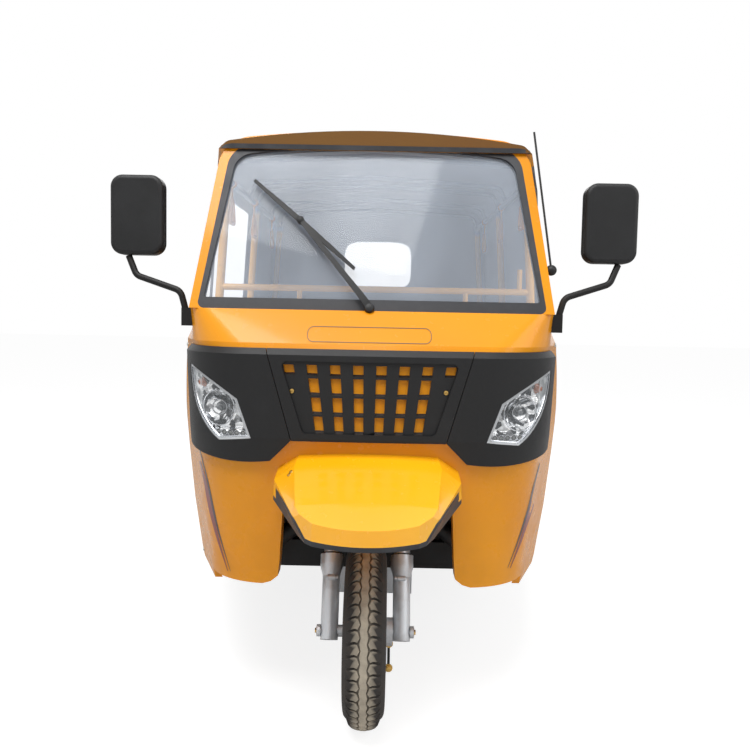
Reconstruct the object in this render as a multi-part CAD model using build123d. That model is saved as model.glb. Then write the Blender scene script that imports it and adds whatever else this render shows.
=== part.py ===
from build123d import *
import math
import os

# Passenger three-wheeler with a single steered front wheel and a soft canopy over a steel body.
# Millimetres, +Z up, -Y forward, +X to the driver's left.
# While the pieces are made, Y = 0 is at the front axle and heights are measured from a datum under the road;
# the export moves them so that the origin is on the ground in the middle of the vehicle.

# --- wheels and stance ---
WHEELBASE = 2150
FRONT_OVERHANG = 330          # front axle to the lip of the nose fender
REAR_OVERHANG = 570           # rear axle to the rear bumper
GROUND_Z = 30                 # the road, above the datum of the heights
TYRE_R = 250
TYRE_W = 110
TYRE_CROWN = 30               # half width of the tread
CROWN_DROP = 6                # fall of the tread from its middle to its edge
BEAD_H = 22                   # height of the rim flange
RIM_R = 127
RIM_W = 90
RIM_T = 6
DISC_T = 8
DISC_SHIFT = 12               # wheel disc to the middle of the rim
DISC_HOLES = 8
DISC_HOLE_R = 12
DISC_HOLE_RING = 92
HUB_R = 38
HUB_W = 80
FRONT_AXLE_R = 10
BRAKE_PLATE_R = 75
REAR_STUB_R = 16
BEARING_GAP = 0.5             # running clearance of a hub on its axle and of the stem in its tube
SIDE_GAP = 5                  # clearance beside a turning hub
SPACER_R = 16
BRAKE_PLATE_T = 8
BRAKE_ARM_W = 24
BRAKE_ARM_LEN = 110
AXLE_END = 10                 # axle and nut beyond the fork leg

# --- steering ---
RAKE = 25                     # lean of the steering axis, degrees
FORK_OFFSET = 40              # axle ahead of the steering axis
LEG_X = 98
SLIDER_R = 24
SLIDER_TOP = 192              # heights along the fork, from the axle
SLIDER_FOOT = 24
FLANGE_R = 32
FLANGE_H = 26
STANCHION_R = 17
BOOT_R = 22
YOKE_BASE = 322
YOKE_T = 30
STEM_R = 16
HEAD_TUBE_R = 30
HEAD_TUBE_BASE = 360
HEAD_TUBE_LEN = 170
YOKE_REACH = 30               # yoke beyond the middle of each leg
YOKE_DEPTH = 90
BOOT_RINGS = 4
BOOT_PITCH = 15
BOOT_RING_H = 9
BAR_HEIGHT = 810
BAR_R = 11
BAR_HALF = 345
BAR_RISE = 40
BAR_SWEEP = 95
BAR_STEP = (90, 170)          # the bar rises between these half widths
BAR_SHOULDER = 30             # set back of the outer bend
BAR_BEND = 40
CLAMP_SIZE = (80, 50, 40)
GRIP_R = 16
GRIP_LEN = 120
POD_R = 55
POD_H = 50
POD_FOOT = 40
POD_LIFT = 10                 # instruments over the bar clamp

# --- heights ---
SILL_Z = 373
FLOOR_Z = 440
FLOOR_T = 12
WAIST_Z = 1000
COWL_Z = 1150
BAND_TOP_Z = 1049
SKIRT_Z = 400
LINER_Z = 350
ROOF_TOP_Z = 1790

# --- stations, measured back from the front axle ---
SEAM_Y = 150                  # nose moulding to cab side panel
SEAM_GAP = 2
BULKHEAD_Y = 345
BULKHEAD_T = 12
PARTITION_Y = 1000
DOOR_POST = 40                # half length of the panel between the two doorways
PASSENGER_DOOR_LEN = 710
REAR_WALL_BACK = 490          # rear wall behind the rear axle

# --- body ---
BODY_WIDTH = 1300
WALL = 20
WHEEL_TUCK = 25               # tyre inside the body side
ARCH_GAP = 50
HOUSE_T = 12
HOUSE_GAP = 15                # wheel house to the inner wall of the tyre
NOSE_T = 14
NOSE_CROWN = 10
MAT_T = 3                     # raised plate of the passengers' floor
MAT_HALF = 460
MAT_EDGE = 20                 # plate to the seats before and behind it
RAIL_X = 330
RAIL_W = 50
RAIL_H = 60
TUBE_R = 16
POST_GAP = 4                  # posts to the body walls
GRAB_RAIL_R = 12.5
GRAB_RAIL_Z = 1235
# Uprights on the grab rail behind the driver: across, foot, top
RAIL_UPRIGHTS = ((-289, FLOOR_Z + FLOOR_T, GRAB_RAIL_Z), (347, FLOOR_Z + FLOOR_T, GRAB_RAIL_Z),
                 (552, GRAB_RAIL_Z, 1321))
ROOF_RAIL_R = 13
ROOF_RAIL_X = 568
ROOF_RAIL_Z = 1640
ROOF_RAIL_START = (430, 262, 1600)
BOW_R = 10
BOW_RISE = (68, 98)           # bow over the roof rail at its bend and in the middle
BOW_BEND_X = 540
BOW_STATIONS = (1500, 2200)
CANOPY_T = 10

# --- nose ---
# Plan sections: height, front face, half width at the bulkhead, corner radius, spread of the sides per length
NOSE_ROWS = (
    (350, 30, 505, 180, 0.36),
    (400, 22, 516, 190, 0.36),
    (560, -2, 541, 200, 0.36),
    (735, -28, 560, 205, 0.36),
    (815, -45, 567, 210, 0.36),
    (1045, -45, 578, 205, 0.36),
    (1062, -38, 578, 195, 0.34),
    (1150, 50, 512, 70, 0.03),
)

# --- black band, grille and lamps ---
BAND_PROUD = 18
BAND_BEVEL = 16
BAND_BEVEL_DEPTH = 14
BAND_END_Y = 130
PANEL_TOP_X = 272
PANEL_FOOT_X = 203
PANEL_FOOT_Z = 809
PANEL_GAP = 2
RECESS_TOP_X = 233
RECESS_TOP_Z = 1017
RECESS_FOOT_X = 172
RECESS_FOOT_Z = 829
RECESS_CORNER = 14
GRILLE_PLATE = 10
SLOT_PITCH = 61               # at the recess top, closing towards its foot
SLOT_PITCH_FOOT = 51
SLOT_SHARE = 0.45             # slot width over pitch
SLOT_SILL = 9
# Slot rows: bottom, top, slots each side of the middle
SLOT_ROWS = ((987, 1008, 4), (937, 973, 3), (887, 923, 3), (838, 874, 3))
LAMP_SPAN = (790, 1020)        # heights that the lamps lie between
LAMP_RIM = 6
LAMP_DEPTH = 75
LENS_T = 5
LENS_PROUD = BAND_PROUD - 2
BULB_X = 400
BULB_Z = 885
BOWL_R = 44
BOWL_DEPTH = 30
BOWL_Y = 24
BOWL_T = 3
NECK_R = 14
CUP_R = 8
CUP_INSET = 6
CUP_Z = 822
CUP_X = (329, 349, 369, 389, 409)

# --- nose fender ---
FENDER_T = 7
FENDER_TRIM = 12
# Fender sections: station, ridge x, ridge z, side x, side z, edge x, edge z
FENDER_ROWS = (
    (0, 176, 786, 236, 742, 244, 700),
    (-90, 190, 748, 241, 712, 243, 672),
    (-240, 172, 680, 180, 660, 163, 618),
    (-310, 138, 647, 141, 638, 130, 610),
    (-330, 130, 637, 132, 630, 124, 607),
)
FENDER_CROWN = 9
FENDER_LIP_X = 126
FENDER_LIP_Y = -300

# --- windscreen ---
SCREEN_Y = 60                 # screen plane at the cowl
SCREEN_SLOPE = 0.337          # station gained for each unit of height
SEAL_FOOT_X = 477
SEAL_TOP_X = 413
SEAL_SIDE_H = 488             # heights up the screen plane
SEAL_TOP_H = 521
SEAL_CORNER = 75
SEAL_FOOT_CORNER = 18
SEAL_W = 17
SEAL_FOOT_W = 32
SEAL_TOP_W = 26
SEAL_T = 24
GLASS_T = 6
FRAME_W = 24
FRAME_DEPTH = 45
SCUTTLE_H = 26

# --- roof and canopy: station, eaves x, eaves z, shoulder x, shoulder z, top z, shoulder radius ---
ROOF_ROWS = (
    (206, 447, 1606, 424, 1628, 1662, 30),
    (430, 494, 1610, 468, 1664, 1703, 40),
    (PARTITION_Y, 612, 1621, 578, 1753, ROOF_TOP_Z, 50),
    (WHEELBASE + REAR_WALL_BACK, 612, 1621, 574, 1735, ROOF_TOP_Z - 22, 50),
)
ROOF_T = 12
WINDOW_W = 385
WINDOW_H = 268
WINDOW_Z = 1423
WINDOW_R = 45
WINDOW_T = 3

# --- mirrors, wiper, aerial ---
MIRROR_X = 735                # outer edge
MIRROR_W = 147
MIRROR_H = 221
MIRROR_D = 46
MIRROR_Y = 150
MIRROR_Z = 1295
MIRROR_R = 34
MIRROR_EDGE_R = 12
MIRROR_GLASS_T = 4
ARM_R = 9
ARM_PATH = ((515, 118, 1125), (534, 118, 1196), (664, 140, 1238), (688, MIRROR_Y, 1292))
ARM_BEND = 30
BRACKET = (486, 528, 100, 136, 1100, 1150)
WIPER_GAP = 14
WIPER_PIVOT = (-6, 6)         # across, and up the screen from the cowl
WIPER_PIVOT_R = 14
WIPER_T = 8
AERIAL_FOOT = (494, 112, 1272)
AERIAL_TIP = (449, 196, 1664)
AERIAL_R = 3
AERIAL_KNOB_R = 15

# --- seats ---
SEAT_Z = 640
SEAT_T = 105
BENCH_Z = 700
BENCH_T = 95
BACK_T = 60
BACK_TOP_Z = 1180
DRIVER_HALF = 260
DRIVER_SEAT_Y = 640
BENCH_HALF = 470
BENCH_REACH = 600
BENCH_Y = 2080
JUMP_END_Y = 1300
PARTITION_T = 15
SEAT_BOX_T = 10
BACK_FOOT = 25                # gap between the driver's cushion and seat back
STANDOFF = (110, 150, 820, 960)   # seat back brackets: across and up
HANDLE_R = 8
HANDLE_HALF = 46
HANDLE_LOW_Z = 1486
HANDLE_TOP_Z = 1596
HANDLE_BEND = 14
STRAP_FOOT_Z = 1568
STRAP_W = 26
STRAP_T = 6
LOOP_T = 3

# --- chassis and running gear ---
CROSS_MEMBERS = (BULKHEAD_Y, 600, PARTITION_Y, 1500)
CROSS_TO_AXLE = 330
CROSS_W = 50
OUTRIGGERS = (500, 800, PARTITION_Y + 120, 1600)
OUTRIGGER_W = 30
NECK_TUBE_R = 24
NECK_SHARE = 0.65             # neck tubes meet the head tube this far up it
AXLE_TUBE_R = 32
DIFF_R = 95
PINION_R = 45
PINION_REACH = 130
DRUM_R = 85
DRUM_T = 14
HUB_NUT_T = 13
SPRING_X = 410
SPRING_W = 50
SPRING_HALF = 430
SPRING_LEAVES = (1.0, 0.75, 0.5)
LEAF_T = 9
SPRING_TOP_GAP = 45
SHACKLE_W = 30
SHACKLE_T = 12
SPRING_PLATE = 40
ENGINE_HALF = 150
ENGINE_SPAN = (612, 988)
ENGINE_BASE_Z = 175
SHAFT_R = 24
SHAFT_Z = 320
MUFFLER_AT = (200, 1450, 300)
MUFFLER_R = 60
MUFFLER_LEN = 460
PIPE_R = 18
PIPE_START = (150, 800)
PIPE_BEND = 30

# --- rear end ---
TAIL_LAMP = (510, 600, 780, 900)
TAIL_LAMP_T = 36
BUMPER_R = 22
BUMPER_HALF = 560
COLLAR_R = 28
COLLAR_HALF = 28
BUMPER_ARM = 40

s, c = math.sin(math.radians(RAKE)), math.cos(math.radians(RAKE))
REAR_AXLE_Y = WHEELBASE
REAR_TRACK = BODY_WIDTH - TYRE_W - 2 * WHEEL_TUCK
AXLE_Z = GROUND_Z + TYRE_R
ARCH_R = TYRE_R + ARCH_GAP
HOUSE_X = REAR_TRACK / 2 - TYRE_W / 2 - HOUSE_GAP
REAR_WALL_Y = WHEELBASE + REAR_WALL_BACK
HALF = BODY_WIDTH / 2
STEER = Plane(origin=(0, FORK_OFFSET * c, AXLE_Z - FORK_OFFSET * s), x_dir=(1, 0, 0), z_dir=(0, s, c))
CENTRE = Pos(0, (FRONT_OVERHANG - WHEELBASE - REAR_OVERHANG) / 2, -GROUND_Z)


# --- small helpers ---
def block(x0, x1, y0, y1, z0, z1):
    return Pos((x0 + x1) / 2, (y0 + y1) / 2, (z0 + z1) / 2) * Box(x1 - x0, y1 - y0, z1 - z0)


def both(shape):
    return shape + mirror(shape, about=Plane.YZ)


def front_prism(face, y0=-400, y1=3000):
    """Extrude a face drawn in front view (X, Z) from y0 back to y1."""
    plane = Plane(origin=(0, y1, 0), x_dir=(1, 0, 0), z_dir=(0, -1, 0))
    return extrude(plane * face, amount=y1 - y0)


def side_prism(face, x0, x1):
    """Extrude a face drawn in side view (Y, Z) from x0 to x1."""
    plane = Plane(origin=(x0, 0, 0), x_dir=(0, 1, 0), z_dir=(1, 0, 0))
    return extrude(plane * face, amount=x1 - x0)


def polygon(*points):
    return make_face(Polyline(*points, close=True))


def mirrored(*points):
    """Close a half outline, given from top to bottom on the +X side, with its mirror image."""
    return polygon(*points, *[(-x, z) for x, z in reversed(points)])


def tube(points, radius, bend):
    """Round bar along straight runs joined by arcs."""
    path = FilletPolyline(*points, radius=bend) if len(points) > 2 else Line(*points)
    return sweep(Plane(origin=path @ 0, z_dir=path % 0) * Circle(radius), path=path)


def rod(x0, x1, y, z, radius):
    """Round bar across the vehicle."""
    return Pos((x0 + x1) / 2, y, z) * Rot(0, 90, 0) * Cylinder(radius, x1 - x0)


def lathe(points, x=0.0, y=0.0, z=0.0):
    """Turn a half section, given as (radius, x), about an axis across the vehicle."""
    face = polygon(*[(across, radius) for radius, across in points])
    return Pos(x, y, z) * revolve(face, axis=Axis.X)


def along_fork(x, back, height):
    """Point in the steering frame: across, behind the axis, up along it from the axle."""
    return STEER.from_local_coords((x, back, height))


def fork_bar(x, back, low, high, radius):
    """Round bar parallel to the steering axis."""
    return STEER * Pos(x, back, (low + high) / 2) * Cylinder(radius, high - low)


# --- nose ---
def nose_at(z):
    """Front face, half width at the bulkhead, corner radius and spread of the nose at one height."""
    rows = NOSE_ROWS
    for low, high in zip(rows, rows[1:]):
        if z <= high[0]:
            break
    t = (z - low[0]) / (high[0] - low[0])
    return [a + (b - a) * t for a, b in zip(low[1:], high[1:])]


def nose_section(z, inset):
    """Plan of the nose: a bowed front, round corners and sides that spread towards the bulkhead."""
    front, half, corner, spread = nose_at(z)
    lean = math.atan(spread)
    bend, side_y, back_y = corner - inset, front + corner, BULKHEAD_Y + BULKHEAD_T
    flat = half - spread * (BULKHEAD_Y - side_y) - corner / math.cos(lean)
    back = half + spread * BULKHEAD_T - inset / math.cos(lean)
    face_y = front + inset

    def on_corner(angle):
        return flat + bend * math.cos(angle), side_y - bend * math.sin(angle)
    middle, end = on_corner((math.pi / 2 + lean) / 2), on_corner(lean)
    edges = [
        ThreePointArc((-flat, face_y), (0, face_y - NOSE_CROWN), (flat, face_y)),
        ThreePointArc((flat, face_y), middle, end),
        Line(end, (back, back_y)),
        Line((back, back_y), (-back, back_y)),
        Line((-back, back_y), (-end[0], end[1])),
        ThreePointArc((-end[0], end[1]), (-middle[0], middle[1]), (-flat, face_y)),
    ]
    return Pos(0, 0, z) * make_face(edges)


def nose_solid(inset=0.0, low=NOSE_ROWS[0][0], high=NOSE_ROWS[-1][0], top_inset=None):
    """Solid of the nose between two heights, moved in by inset; top_inset bevels the upper edge."""
    full = high if top_inset is None else high - BAND_BEVEL
    heights = [low] + [row[0] for row in NOSE_ROWS if low < row[0] < full] + [full]
    sections = [nose_section(z, inset) for z in heights]
    if top_inset is not None:
        sections.append(nose_section(high, top_inset))
    return loft(sections, ruled=True)


def lamp_face(inset=0.0):
    """Lamp outline on the +X side, in front view."""
    edges = [
        ThreePointArc((493, 1000), (415, 959), (345, 915)),
        Line((345, 915), (307, 813)),
        Line((307, 813), (397, 803)),
        ThreePointArc((397, 803), (467, 880), (493, 1000)),
    ]
    face = make_face(edges)
    return offset(face, amount=-inset) if inset else face


def arch_face(grow=0.0):
    """Front view of the opening for the wheel, between and under the skirts."""
    points = ((228, 640), (228, 612), (237, 470), (242, 424), (262, SKIRT_Z + 7), (285, SKIRT_Z), (700, SKIRT_Z))
    face = mirrored(*points, (700, 300))
    return offset(face, amount=grow, kind=Kind.INTERSECTION) if grow else face


def front_fascia(nose):
    shell = nose - nose_solid(NOSE_T)
    lip = (nose - nose_solid(4 * NOSE_T)) & front_prism(arch_face(NOSE_T / 2))
    fascia = (shell + lip) & block(-HALF, HALF, -400, SEAM_Y, LINER_Z, COWL_Z)
    fascia -= front_prism(arch_face())
    return fascia - both(front_prism(lamp_face()))


def side_panels(nose):
    shell = nose - nose_solid(WALL)
    panels = shell & block(-HALF, HALF, SEAM_Y, BULKHEAD_Y + BULKHEAD_T, SILL_Z, COWL_Z)
    edge = [
        Line((400, 1200), (105, 1200)),
        Line((105, 1200), (105, COWL_Z)),
        ThreePointArc((105, COWL_Z), (262, 1040), (BULKHEAD_Y + BULKHEAD_T, 860)),
        Line((BULKHEAD_Y + BULKHEAD_T, 860), (400, 860)),
        Line((400, 860), (400, 1200)),
    ]
    return panels - side_prism(make_face(edge), -HALF, HALF)


def band_blank(nose):
    """The proud layer that the band and the grille panel are cut from."""
    outer = nose_solid(-BAND_PROUD, 735, BAND_TOP_Z, BAND_BEVEL_DEPTH - BAND_PROUD)
    return (outer - nose) & block(-HALF, HALF, -400, BAND_END_Y, 700, BAND_TOP_Z)


def lamp_bands(blank):
    top = (PANEL_TOP_X, BAND_TOP_Z)
    foot = (PANEL_FOOT_X, PANEL_FOOT_Z)
    edges = [
        Line(top, (620, BAND_TOP_Z)),
        Line((620, BAND_TOP_Z), (620, 815)),
        ThreePointArc((620, 815), (440, 757), (258, 753)),
        Line((258, 753), foot),
        Line(foot, top),
    ]
    outline = front_prism(make_face(edges)) - front_prism(lamp_face())
    return blank & both(outline)


def slot(low, high, column):
    """One tapered grille slot with a sloping sill; column counts from the middle."""
    def x(z, edge):
        t = (z - RECESS_FOOT_Z) / (RECESS_TOP_Z - RECESS_FOOT_Z)
        pitch = SLOT_PITCH_FOOT + (SLOT_PITCH - SLOT_PITCH_FOOT) * t
        return pitch * (column + 0.5 + edge * SLOT_SHARE / 2)
    opening = front_prism(polygon((x(low, -1), low), (x(low, 1), low), (x(high, 1), high), (x(high, -1), high)))
    front = nose_at(low)[0] - NOSE_CROWN
    back, face = front + 6, front - GRILLE_PLATE
    sill = polygon((face - 20, low - SLOT_SILL), (face, low - SLOT_SILL), (back, low + 1), (face - 20, low + 1))
    return opening + side_prism(sill, x(low, -1), x(low, 1))


def grille_panel(blank):
    top_x, foot_x = PANEL_TOP_X - PANEL_GAP, PANEL_FOOT_X - PANEL_GAP
    panel = blank & front_prism(mirrored((top_x, BAND_TOP_Z), (foot_x, PANEL_FOOT_Z)))
    recess = fillet(
        mirrored((RECESS_TOP_X, RECESS_TOP_Z), (RECESS_FOOT_X, RECESS_FOOT_Z)).vertices(), RECESS_CORNER)
    panel -= front_prism(recess) - nose_solid(-GRILLE_PLATE)
    for low, high, count in SLOT_ROWS:
        for column in range(-count, count):
            panel -= slot(low, high, column)
    return panel


def lamp_cavity(outer, inner, inset):
    low, high = LAMP_SPAN
    layer = nose_solid(outer, low, high) - nose_solid(inner, low, high)
    layer &= block(-HALF, HALF, -400, SEAM_Y - SEAM_GAP - inset, low, high)
    return layer & both(front_prism(lamp_face(inset)))


def headlamp_housings():
    case = lamp_cavity(-BAND_PROUD + 1, LAMP_DEPTH, 0)
    return case - lamp_cavity(-BAND_PROUD, LAMP_DEPTH - LAMP_RIM, LAMP_RIM)


def headlamp_lenses():
    return lamp_cavity(-LENS_PROUD, -LENS_PROUD + LENS_T, LAMP_RIM)


def headlamp_reflectors():
    mouth, back, wall = (BOWL_R, 0), (NECK_R, BOWL_DEPTH), BOWL_DEPTH + BOWL_T
    bend = (BOWL_R * 0.8, BOWL_DEPTH * 0.52)
    profile = make_face([
        ThreePointArc(mouth, bend, back),
        Line(back, (0, BOWL_DEPTH)),
        Line((0, BOWL_DEPTH), (0, LAMP_DEPTH + BOWL_DEPTH)),
        Line((0, LAMP_DEPTH + BOWL_DEPTH), (NECK_R, LAMP_DEPTH + BOWL_DEPTH)),
        Line((NECK_R, LAMP_DEPTH + BOWL_DEPTH), (NECK_R, wall)),
        ThreePointArc((NECK_R, wall), (bend[0] + BOWL_T, bend[1] + BOWL_T), (BOWL_R + BOWL_T, 0)),
        Line((BOWL_R + BOWL_T, 0), mouth),
    ])
    bowl = Pos(BULB_X, BOWL_Y, BULB_Z) * revolve(profile, axis=Axis.Y)
    inner = nose_solid(LAMP_DEPTH - LAMP_RIM, *LAMP_SPAN)
    layer = nose_solid(CUP_INSET, *LAMP_SPAN) - inner
    layer &= front_prism(lamp_face(LAMP_RIM))
    cups = [layer & Pos(x, 20, CUP_Z) * Rot(90, 0, 0) * Cylinder(CUP_R, 240) for x in CUP_X]
    return both(bowl - inner) + [piece for cup in cups for piece in both(cup).solids()]


# --- nose fender ---
def fender_section(row, inset):
    y, ridge_x, ridge_z, side_x, side_z, edge_x, edge_z = row
    ridge_x, ridge_z, side_x, edge_x = ridge_x - inset / 2, ridge_z - inset, side_x - inset, edge_x - inset
    edge_z -= inset * 3
    right = [(ridge_x, ridge_z), (side_x, side_z), (edge_x, edge_z)]
    left = [(-x, z) for x, z in right]
    edges = [
        ThreePointArc(left[0], (0, ridge_z + FENDER_CROWN), right[0]),
        Line(right[0], right[1]), Line(right[1], right[2]), Line(right[2], left[2]),
        Line(left[2], left[1]), Line(left[1], left[0]),
    ]
    return Plane(origin=(0, y, 0), x_dir=(1, 0, 0), z_dir=(0, -1, 0)) * make_face(edges)


def fender_solid(inset):
    rows = [fender_section(row, inset) for row in FENDER_ROWS]
    plan = make_face([
        ThreePointArc((-FENDER_LIP_X, FENDER_LIP_Y), (0, -FRONT_OVERHANG), (FENDER_LIP_X, FENDER_LIP_Y)),
        Line((FENDER_LIP_X, FENDER_LIP_Y), (300, FENDER_LIP_Y + 174)), Line((300, FENDER_LIP_Y + 174), (300, 60)),
        Line((300, 60), (-300, 60)), Line((-300, 60), (-300, FENDER_LIP_Y + 174)),
        Line((-300, FENDER_LIP_Y + 174), (-FENDER_LIP_X, FENDER_LIP_Y)),
    ])
    return loft(rows, ruled=True) & Pos(0, inset, 400) * extrude(plan, amount=500)


def nose_fender(nose):
    return fender_solid(0) - fender_solid(FENDER_T) - nose


def fender_trim(nose):
    shell = fender_solid(0) - fender_solid(FENDER_T)
    dropped = Pos(0, 0, -FENDER_TRIM) * shell
    return dropped - fender_solid(0) - nose - Pos(0, 0, 10) * fender_solid(FENDER_T)


# --- windscreen and cab frame ---
def screen_plane(depth=0.0):
    """Plane of the screen, its y up the glass, moved back into the cab by depth."""
    tilt = math.hypot(1, SCREEN_SLOPE)
    normal = (0, -1 / tilt, SCREEN_SLOPE / tilt)
    origin = (0, SCREEN_Y - normal[1] * depth, COWL_Z - normal[2] * depth)
    return Plane(origin=origin, x_dir=(1, 0, 0), z_dir=normal)


def screen_face(side=0.0, foot=0.0, top=0.0, corner=SEAL_CORNER, foot_corner=SEAL_FOOT_CORNER):
    """Screen outline, grown outwards by side, foot and top."""
    foot_x, top_x, foot_h = SEAL_FOOT_X + side, SEAL_TOP_X + side, -foot
    side_h, top_h = SEAL_SIDE_H + top, SEAL_TOP_H + top
    face = make_face([
        Line((-foot_x, foot_h), (foot_x, foot_h)),
        Line((foot_x, foot_h), (top_x, side_h)),
        ThreePointArc((top_x, side_h), (0, top_h), (-top_x, side_h)),
        Line((-top_x, side_h), (-foot_x, foot_h)),
    ])
    upper = [v for v in face.vertices() if v.Y > side_h / 2]
    lower = [v for v in face.vertices() if v.Y < side_h / 2]
    face = fillet(upper, corner)
    lower = [v for v in face.vertices() if abs(v.Y - foot_h) < 0.01]
    return fillet(lower, foot_corner)


def glass_face():
    return screen_face(-SEAL_W, -SEAL_FOOT_W, -SEAL_TOP_W, SEAL_CORNER - SEAL_W, SEAL_FOOT_CORNER / 2)


def windscreen_glass():
    depth = (SEAL_T - GLASS_T) / 2
    return extrude(screen_plane(depth) * glass_face(), amount=-GLASS_T)


def windscreen_seal(fascia):
    seal = extrude(screen_plane() * screen_face(), amount=-SEAL_T)
    return seal - extrude(screen_plane() * glass_face(), amount=-SEAL_T) - fascia


def cab_frame():
    outer = screen_face(FRAME_W, SCUTTLE_H, FRAME_W, SEAL_CORNER + FRAME_W, SEAL_FOOT_CORNER)
    frame = extrude(screen_plane() * outer, amount=-FRAME_DEPTH)
    frame -= extrude(screen_plane() * screen_face(), amount=-FRAME_DEPTH)
    return frame & block(-HALF, HALF, 0, PARTITION_Y, COWL_Z, ROOF_TOP_Z)


# --- roof and canopy ---
def roof_section(row, inset=0.0, skirt=()):
    """Roof in front view, moved in by inset; skirt adds (x, z) corners below the eaves."""
    y, eaves_x, eaves_z, shoulder_x, shoulder_z, top_z, radius = row
    right = [(shoulder_x - inset, shoulder_z - inset)]
    right += [(x - inset, z) for x, z in ((eaves_x, eaves_z), *skirt)]
    left = [(-x, z) for x, z in right]
    edges = [ThreePointArc(left[0], (0, top_z - inset), right[0])]
    edges += [Line(a, b) for a, b in zip(right, right[1:])]
    edges += [Line(right[-1], left[-1])]
    edges += [Line(a, b) for a, b in zip(left[::-1], left[-2::-1])]
    face = make_face(edges)
    upper = [v for v in face.vertices() if v.Y > eaves_z + 0.01]
    plane = Plane(origin=(0, y, 0), x_dir=(1, 0, 0), z_dir=(0, -1, 0))
    return plane * fillet(upper, radius - inset)


def cab_roof(frame, seal):
    front, back = ROOF_ROWS[0], ROOF_ROWS[1]
    cap = loft([roof_section(front), roof_section(back)], ruled=True)
    under = [
        (front[0] + ROOF_T,) + front[1:],
        (back[0] + 1,) + back[1:],
    ]
    cap -= Pos(0, 0, -0.01) * loft([roof_section(row, ROOF_T) for row in under], ruled=True)
    return cap - frame - seal


def canopy_solid(inset):
    """Front and rear lengths of the canopy; the inner pair runs past the open ends."""
    first, middle, last = ROOF_ROWS[1:]
    past = min(inset, 1)
    begin = (first[0] - past,) + first[1:]
    skirt = ((HALF, WAIST_Z - past),)
    end = (last[0] - inset,) + last[1:]
    front = loft([roof_section(begin, inset), roof_section(middle, inset)], ruled=True)
    return front, loft([roof_section(middle, inset, skirt), roof_section(end, inset, skirt)], ruled=True)


def window_face(grow=0.0):
    return Pos(0, WINDOW_Z) * RectangleRounded(WINDOW_W + 2 * grow, WINDOW_H + 2 * grow, WINDOW_R + grow)


def canopy():
    front, rear = canopy_solid(0)
    front_hole, rear_hole = canopy_solid(CANOPY_T)
    doorway = block(-HALF - 10, 0, PARTITION_Y + DOOR_POST, passenger_door_end(), WAIST_Z - 10, 1600)
    front_hole = Pos(0, 0, -0.5) * front_hole
    cover = (front - front_hole) + (rear - rear_hole)
    return cover - doorway - front_prism(window_face(), REAR_WALL_Y - 60)


def rear_window():
    y1 = REAR_WALL_Y - CANOPY_T / 2 + WINDOW_T / 2
    return front_prism(window_face(), y1 - WINDOW_T, y1)


# --- lower body ---
def passenger_door_end():
    return PARTITION_Y + PASSENGER_DOOR_LEN


def nose_back_half(z):
    """Half width of the nose where the body sides start."""
    _, half, _, spread = nose_at(z)
    return half + spread * BULKHEAD_T


def wall_plan(inset):
    """Plan of the body behind the cab front, moved in by inset."""
    front = BULKHEAD_Y + BULKHEAD_T
    start = nose_back_half(SILL_Z)
    return mirrored((start - inset, front), (HALF - inset, PARTITION_Y), (HALF - inset, REAR_WALL_Y))


def body_walls():
    plan = wall_plan(0) - wall_plan(WALL)
    walls = Pos(0, 0, SILL_Z) * extrude(plan, amount=WAIST_Z - SILL_Z)
    arch = rod(-HALF, HALF, REAR_AXLE_Y, AXLE_Z, ARCH_R)
    driver_door = block(-HALF, HALF, 0, PARTITION_Y - DOOR_POST, FLOOR_Z + FLOOR_T, WAIST_Z)
    return walls - arch - driver_door


def body_side(walls, side):
    wall = walls & block(0, HALF, 0, REAR_WALL_Y, 0, WAIST_Z)
    if side > 0:
        return wall
    door = block(0, HALF, PARTITION_Y + DOOR_POST, passenger_door_end(), FLOOR_Z + FLOOR_T, WAIST_Z)
    return mirror(wall - door, about=Plane.YZ)


def wheel_houses():
    arch = rod(HOUSE_X - HOUSE_T, HALF - WALL, REAR_AXLE_Y, AXLE_Z, ARCH_R + HOUSE_T)
    arch -= rod(HOUSE_X, HALF - WALL, REAR_AXLE_Y, AXLE_Z, ARCH_R)
    return both(arch & block(0, HALF, 0, REAR_WALL_Y, SILL_Z, WAIST_Z))


def floor_pan():
    """Floor with the two wheel houses welded in and a raised plate between the benches."""
    floor = Pos(0, 0, FLOOR_Z) * extrude(wall_plan(WALL), amount=FLOOR_T)
    gap = both(rod(HOUSE_X, HALF, REAR_AXLE_Y, AXLE_Z, ARCH_R))
    floor = floor + wheel_houses() - gap
    top = FLOOR_Z + FLOOR_T + MAT_T
    floor += block(-MAT_HALF, MAT_HALF, JUMP_END_Y + MAT_EDGE, BENCH_Y - MAT_EDGE, FLOOR_Z, top)
    return floor - block(-HALF, HALF, REAR_WALL_Y - WALL, REAR_WALL_Y, 0, WAIST_Z)


def rear_panel():
    return block(-HALF + WALL, HALF - WALL, REAR_WALL_Y - WALL, REAR_WALL_Y, SILL_Z, WAIST_Z)


def front_bulkhead(chassis):
    slab = block(-HALF, HALF, BULKHEAD_Y, BULKHEAD_Y + BULKHEAD_T, LINER_Z, 830)
    return (slab & nose_solid(WALL)) - chassis


def dashboard(frame, lamps):
    low, high = (BULKHEAD_Y + BULKHEAD_T, 830), (100, 1128)
    t = 16
    profile = polygon(low, (low[0] - t, low[1]), (high[0] - t, high[1]), high)
    plate = side_prism(profile, -HALF, HALF) & nose_solid(WALL)
    hole = fork_bar(0, 0, 500, 900, HEAD_TUBE_R + 25)
    plate = plate - hole - frame - lamps
    return plate.solids().sort_by(SortBy.VOLUME)[-1]


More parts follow.
